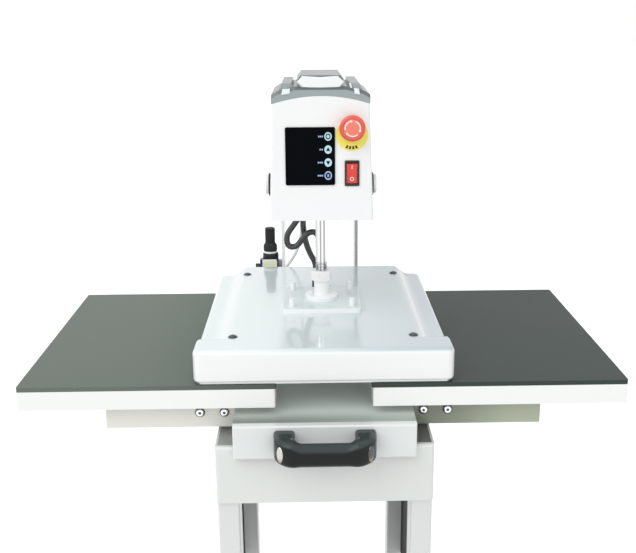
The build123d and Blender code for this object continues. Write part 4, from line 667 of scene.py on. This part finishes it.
SWITCH_X, ON_LOW, ON_HIGH, OFF_Z = 50.0, 311.2, 317.4, 294.6
mark("switch_on_mark", [(box_points(SWITCH_X - 0.7, ON_LOW, SWITCH_X + 0.7, ON_HIGH), None)], "power_rocker",
     print_white, "rocker", "button_white")
mark("switch_off_mark", [(circle(SWITCH_X, OFF_Z, 3.3, 28), circle(SWITCH_X, OFF_Z, 2.1, 28))], "power_rocker",
     print_white, "rocker", "button_white")

# ---------- regulator: face, rings, ribbed knob ----------
REG_X, REG_Y = -103.5, 300.0


def port_ring(x, inset):
    """Square outline of the regulator's side port in the plane at x."""
    return [(x, REG_Y + y, z) for y, z in box_points(inset - 8, 30 + inset, 8 - inset, 60 - inset)]


prism("regulator_port", [port_ring(-125.4, 0.6), port_ring(-124.6, 0), port_ring(-119.6, 0)], navy, "frame",
      "regulator_blue")
plate("regulator_face", box_points(REG_X - 16.2, 20.0, REG_X + 12.6, 62.4), REG_Y - 17.9, REG_Y - 15.5, dial,
      "frame", "dial_pale", edge=0.7)
soften(turned("regulator_band", [(13.0, 62.4), (15.8, 62.8), (16.2, 64.0), (16.2, 71.5), (15.4, 73.0), (13.0, 73.2)],
              (REG_X + 0.6, REG_Y, 0), "Z", satin_black, "frame", "black_plastic", count=64))
soften(turned("regulator_lock_ring",
              [(11.0, 73.1), (13.6, 73.4), (14.2, 74.2), (14.2, 76.6), (13.4, 77.4), (11.0, 77.6)],
              (REG_X, REG_Y, 0), "Z", white, "frame", "white_paint", count=64))
soften(turned("regulator_dial_knob",
              [(9.0, 78.2), (13.9, 78.6), (14.2, 79.6), (14.2, 88.6), (13.6, 90.6), (11.2, 93.6), (10.5, 95.4),
               (10.4, 97.0), (10.4, 124.6), (9.9, 126.2), (8.6, 127.0), (4.0, 126.6), (1.0, 126.6)],
              (REG_X, REG_Y, 0), "Z", satin_black, "knob", "black_plastic", count=120, ribs=20, rib_depth=0.8,
              rib_from=2, rib_to=8, replaces=("regulator_knob",)), 40)


# ---------- rod nut with clipped corners, its thread, bolts ----------
NUT_R, NUT_CHAMFER, NUT_CLIP = 16.8, 16.7, 19.4
THREAD_LOW, THREAD_PITCH, THREAD_TURNS = 116.4, 2.8, 6


def hex_ring(z, clip, count=72):
    """Ring of the nut's hexagon at height z, with its corners clipped to a circle."""
    ring = []
    for i in range(count):
        a = 2 * math.pi * i / count
        local = (a % (math.pi / 3)) - math.pi / 6
        reach = min(NUT_R / math.cos(local), clip)
        angle = a + math.radians(15)
        ring.append((reach * math.cos(angle), reach * math.sin(angle), z))
    return ring


soften(prism("rod_nut", [hex_ring(98.0, NUT_CHAMFER), hex_ring(99.6, NUT_CLIP), hex_ring(114.4, NUT_CLIP),
                         hex_ring(116.4, NUT_CHAMFER), hex_ring(116.6, 13.0)],
             zinc, "press", "nut_zinc", smooth=True, replaces=("lock_nut",)), 20)
for number in range(THREAD_TURNS):
    low = THREAD_LOW + THREAD_PITCH * number
    turned("rod_thread_%d" % (number + 1),
           [(9.4, low - 0.6), (10.35, low + 0.3), (10.35, low + 0.7), (9.4, low + 1.6)],
           (0, 0, 0), "Z", thread_grey, "press", "rod_chrome", count=40)


def islands(node):
    """Boxes of the separate solids in a node, in millimetres over the pads."""
    work = bmesh.new()
    work.from_mesh(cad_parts[node].data)
    bmesh.ops.remove_doubles(work, verts=work.verts, dist=1e-6)
    left, boxes = set(work.verts), []
    while left:
        todo, group = [left.pop()], []
        while todo:
            v = todo.pop()
            group.append(v.co.copy())
            for e in v.link_edges:
                o = e.other_vert(v)
                if o in left:
                    left.discard(o)
                    todo.append(o)
        low = [min(c[k] for c in group) * 1000 for k in range(3)]
        high = [max(c[k] for c in group) * 1000 for k in range(3)]
        low[2] -= PADS_TOP * 1000
        high[2] -= PADS_TOP * 1000
        boxes.append((low, high))
    work.free()
    return sorted(boxes, key=lambda b: (b[0][1], b[0][0]))


# Round each arm bolt a dark ring stands in for its shadow, and a dark hexagon on its head for the socket's hollow:
# painted shade.
for number, (low, high) in enumerate(islands("arm_bolts")):
    cx, cz = (low[0] + high[0]) / 2, (low[2] + high[2]) / 2
    out = -1 if low[1] < 0 else 1
    front = low[1] if out < 0 else high[1]
    radius = (high[2] - low[2]) / 2
    turned("arm_bolt_shadow_ring_%d" % (number + 1),
           [(radius - 0.6, -4.0 * out), (radius + 1.2, -4.0 * out), (radius + 1.2, -2.6 * out),
            (radius - 0.2, -1.6 * out), (radius - 0.8, -1.6 * out)],
           (cx, front, cz), "Y", bolt_dark, "carriage", "dark_bolt", count=40)
    turned("arm_bolt_socket_%d" % (number + 1), [(2.6, -1.0 * out), (2.6, 0.25 * out), (1.2, 0.3 * out)],
           (cx, front, cz), "Y", bolt_dark, "carriage", "dark_bolt", count=6)
# A dark hexagon on each cover screw stands in for its socket's hollow: painted shade.
for number, (low, high) in enumerate(islands("cover_screws")):
    cx, cy = (low[0] + high[0]) / 2, (low[1] + high[1]) / 2
    turned("cover_screw_washer_%d" % (number + 1),
           [(5.0, COVER_TOP), (7.6, COVER_TOP), (7.6, COVER_TOP + 1.0), (7.0, COVER_TOP + 1.5), (5.0, COVER_TOP + 1.5)],
           (cx, cy, 0), "Z", bolt_dark, "press", "dark_bolt", count=40)
    turned("cover_screw_socket_%d" % (number + 1),
           [(2.4, high[2] - 1.0), (2.4, high[2] + 0.15), (1.0, high[2] + 0.2)],
           (cx, cy, 0), "Z", satin_black, "press", "dark_bolt", count=6)


# ---------- handle: one moulded bow, and the oval ends of its corners, painted as highlights ---
def section(half_n, half_z, r, steps=6):
    """Rounded section as (sideways, up) pairs."""
    ring = []
    for a0, sn, sz in ((0, 1, 1), (90, -1, 1), (180, -1, -1), (270, 1, -1)):
        for k in range(steps + 1):
            a = math.radians(a0 + 90 * k / steps)
            ring.append((sn * (half_n - r) + r * math.cos(a), sz * (half_z - r) + r * math.sin(a)))
    return ring


FOOT_X, FRONT_Y, BEND, HANDLE_Z = 62.5, -330.8, 20.0, -78.8
TAPER_FROM, TAPER_LENGTH = -300.0, 26.0  # along Y, where the feet grow thinner
GRIP_FROM, GRIP_LENGTH = 50.0, 14.0  # along X, where the grip begins
path = [(-FOOT_X, y, 0, 1) for y in (-290.2, -293, -298, -304, -310)]
for degrees_at in range(6, 90, 7):
    along_x, along_y = math.sin(math.radians(degrees_at)), math.cos(math.radians(degrees_at))
    path.append((-FOOT_X + BEND * (1 - along_y), FRONT_Y + BEND * (1 - along_x), along_x, along_y))
half_path = path + [(x, FRONT_Y, 1, 0) for x in (-40, -36, -30, -22, -12)]
path = half_path + [(0, FRONT_Y, 1, 0)] + [(-x, y, tx, -ty) for x, y, tx, ty in half_path[::-1]]
handle_rings = []
for x, y, tx, ty in path:
    depth = min(1.0, max(0.0, (TAPER_FROM - y) / TAPER_LENGTH))
    grip = ease((GRIP_FROM - abs(x)) / GRIP_LENGTH)
    side = -1 if x < 0 else 1
    outline_points = section(16.4 - 2.2 * depth - 0.6 * grip, 19.7 - 2.4 * grip, 6.0 + 3.0 * depth + 2.2 * grip)
    handle_rings.append([(x + side * n * abs(ty), y - n * tx, HANDLE_Z - 2.2 * grip + z) for n, z in outline_points])
soften(prism("handle_bow", handle_rings, handle_black, "carriage", "black_plastic", smooth=True,
             replaces=("handle",)), 50)

# The oval ends are pale metal standing in for the glint on the black handle's corners: painted highlight.
END_X, END_Y, END_TURN = 67.6, -333.2, math.radians(48)
END_HALF_WIDTH, END_HALF_HEIGHT = 6.2, 13.0
for number, side in enumerate((-1, 1)):
    nx, ny = side * math.sin(END_TURN), -math.cos(END_TURN)
    rings = []
    for share, out in ((1.0, -1.5), (1.0, 1.3), (0.94, 2.1), (0.7, 2.6), (0.3, 2.9)):
        ring = []
        for i in range(40):
            a = 2 * math.pi * i / 40
            u, v = END_HALF_WIDTH * share * math.cos(a), END_HALF_HEIGHT * share * math.sin(a)
            ring.append((side * END_X + nx * out - ny * u, END_Y + ny * out + nx * u, HANDLE_Z + v))
        rings.append(ring)
    soften(prism("handle_end_%d" % (number + 1), rings, handle_end_painted_highlight, "carriage", "black_plastic", smooth=True), 60)


# ---------- floor and light ----------
FLOOR_REACH, FLOOR_GREY, FLOOR_GLOW, WORLD_LEVEL = 40, 0.80, 0.40, 0.62


def backdrop_rays(nodes, links):
    """1 for the rays that see the white backdrop: camera, glossy and transmission rays."""
    light_path = nodes.new("ShaderNodeLightPath")
    seen = light_path.outputs["Is Camera Ray"]
    for kind in ("Is Glossy Ray", "Is Transmission Ray"):
        either = nodes.new("ShaderNodeMath")
        either.operation = "MAXIMUM"
        links.new(seen, either.inputs[0])
        links.new(light_path.outputs[kind], either.inputs[1])
        seen = either.outputs[0]
    return seen


corners = [(x * FLOOR_REACH, y * FLOOR_REACH, 0) for x, y in ((-1, -1), (1, -1), (1, 1), (-1, 1))]
floor = mesh_object("floor", corners, [(0, 1, 2, 3)], scale=False)
floor_mat = bpy.data.materials.new("floor_white")
floor_mat.use_nodes = True
nodes, links = floor_mat.node_tree.nodes, floor_mat.node_tree.links
nodes.remove(nodes["Principled BSDF"])
diffuse = nodes.new("ShaderNodeBsdfDiffuse")
diffuse.inputs["Color"].default_value = (FLOOR_GREY, FLOOR_GREY, FLOOR_GREY, 1)
glow = nodes.new("ShaderNodeEmission")
glow.inputs["Strength"].default_value = FLOOR_GLOW
add = nodes.new("ShaderNodeAddShader")
links.new(diffuse.outputs[0], add.inputs[0])
links.new(glow.outputs[0], add.inputs[1])
blend = nodes.new("ShaderNodeMixShader")
links.new(backdrop_rays(nodes, links), blend.inputs[0])
links.new(diffuse.outputs[0], blend.inputs[1])
links.new(add.outputs[0], blend.inputs[2])
links.new(blend.outputs[0], nodes["Material Output"].inputs["Surface"])
floor.data.materials.append(floor_mat)

world = bpy.data.worlds.new("studio")
scene.world = world
world.use_nodes = True
nodes, links = world.node_tree.nodes, world.node_tree.links
back = nodes["Background"]
back.inputs["Color"].default_value = (1, 1, 1, 1)
level = nodes.new("ShaderNodeMapRange")
level.inputs["To Min"].default_value = WORLD_LEVEL
level.inputs["To Max"].default_value = 1.0
links.new(backdrop_rays(nodes, links), level.inputs["Value"])
links.new(level.outputs["Result"], back.inputs["Strength"])


def sun(name, direction, strength, angle):
    """Sun lamp with its angular size in degrees."""
    data = bpy.data.lights.new(name, "SUN")
    data.energy = strength
    data.angle = math.radians(angle)
    obj = link(bpy.data.objects.new(name, data))
    obj.rotation_mode = "QUATERNION"
    obj.rotation_quaternion = Vector(direction).to_track_quat("-Z", "Y")


sun("key", (0.75, 0.55, -1.0), 1.36, 60)
sun("fill", (-0.35, 0.9, -0.35), 0.55, 60)
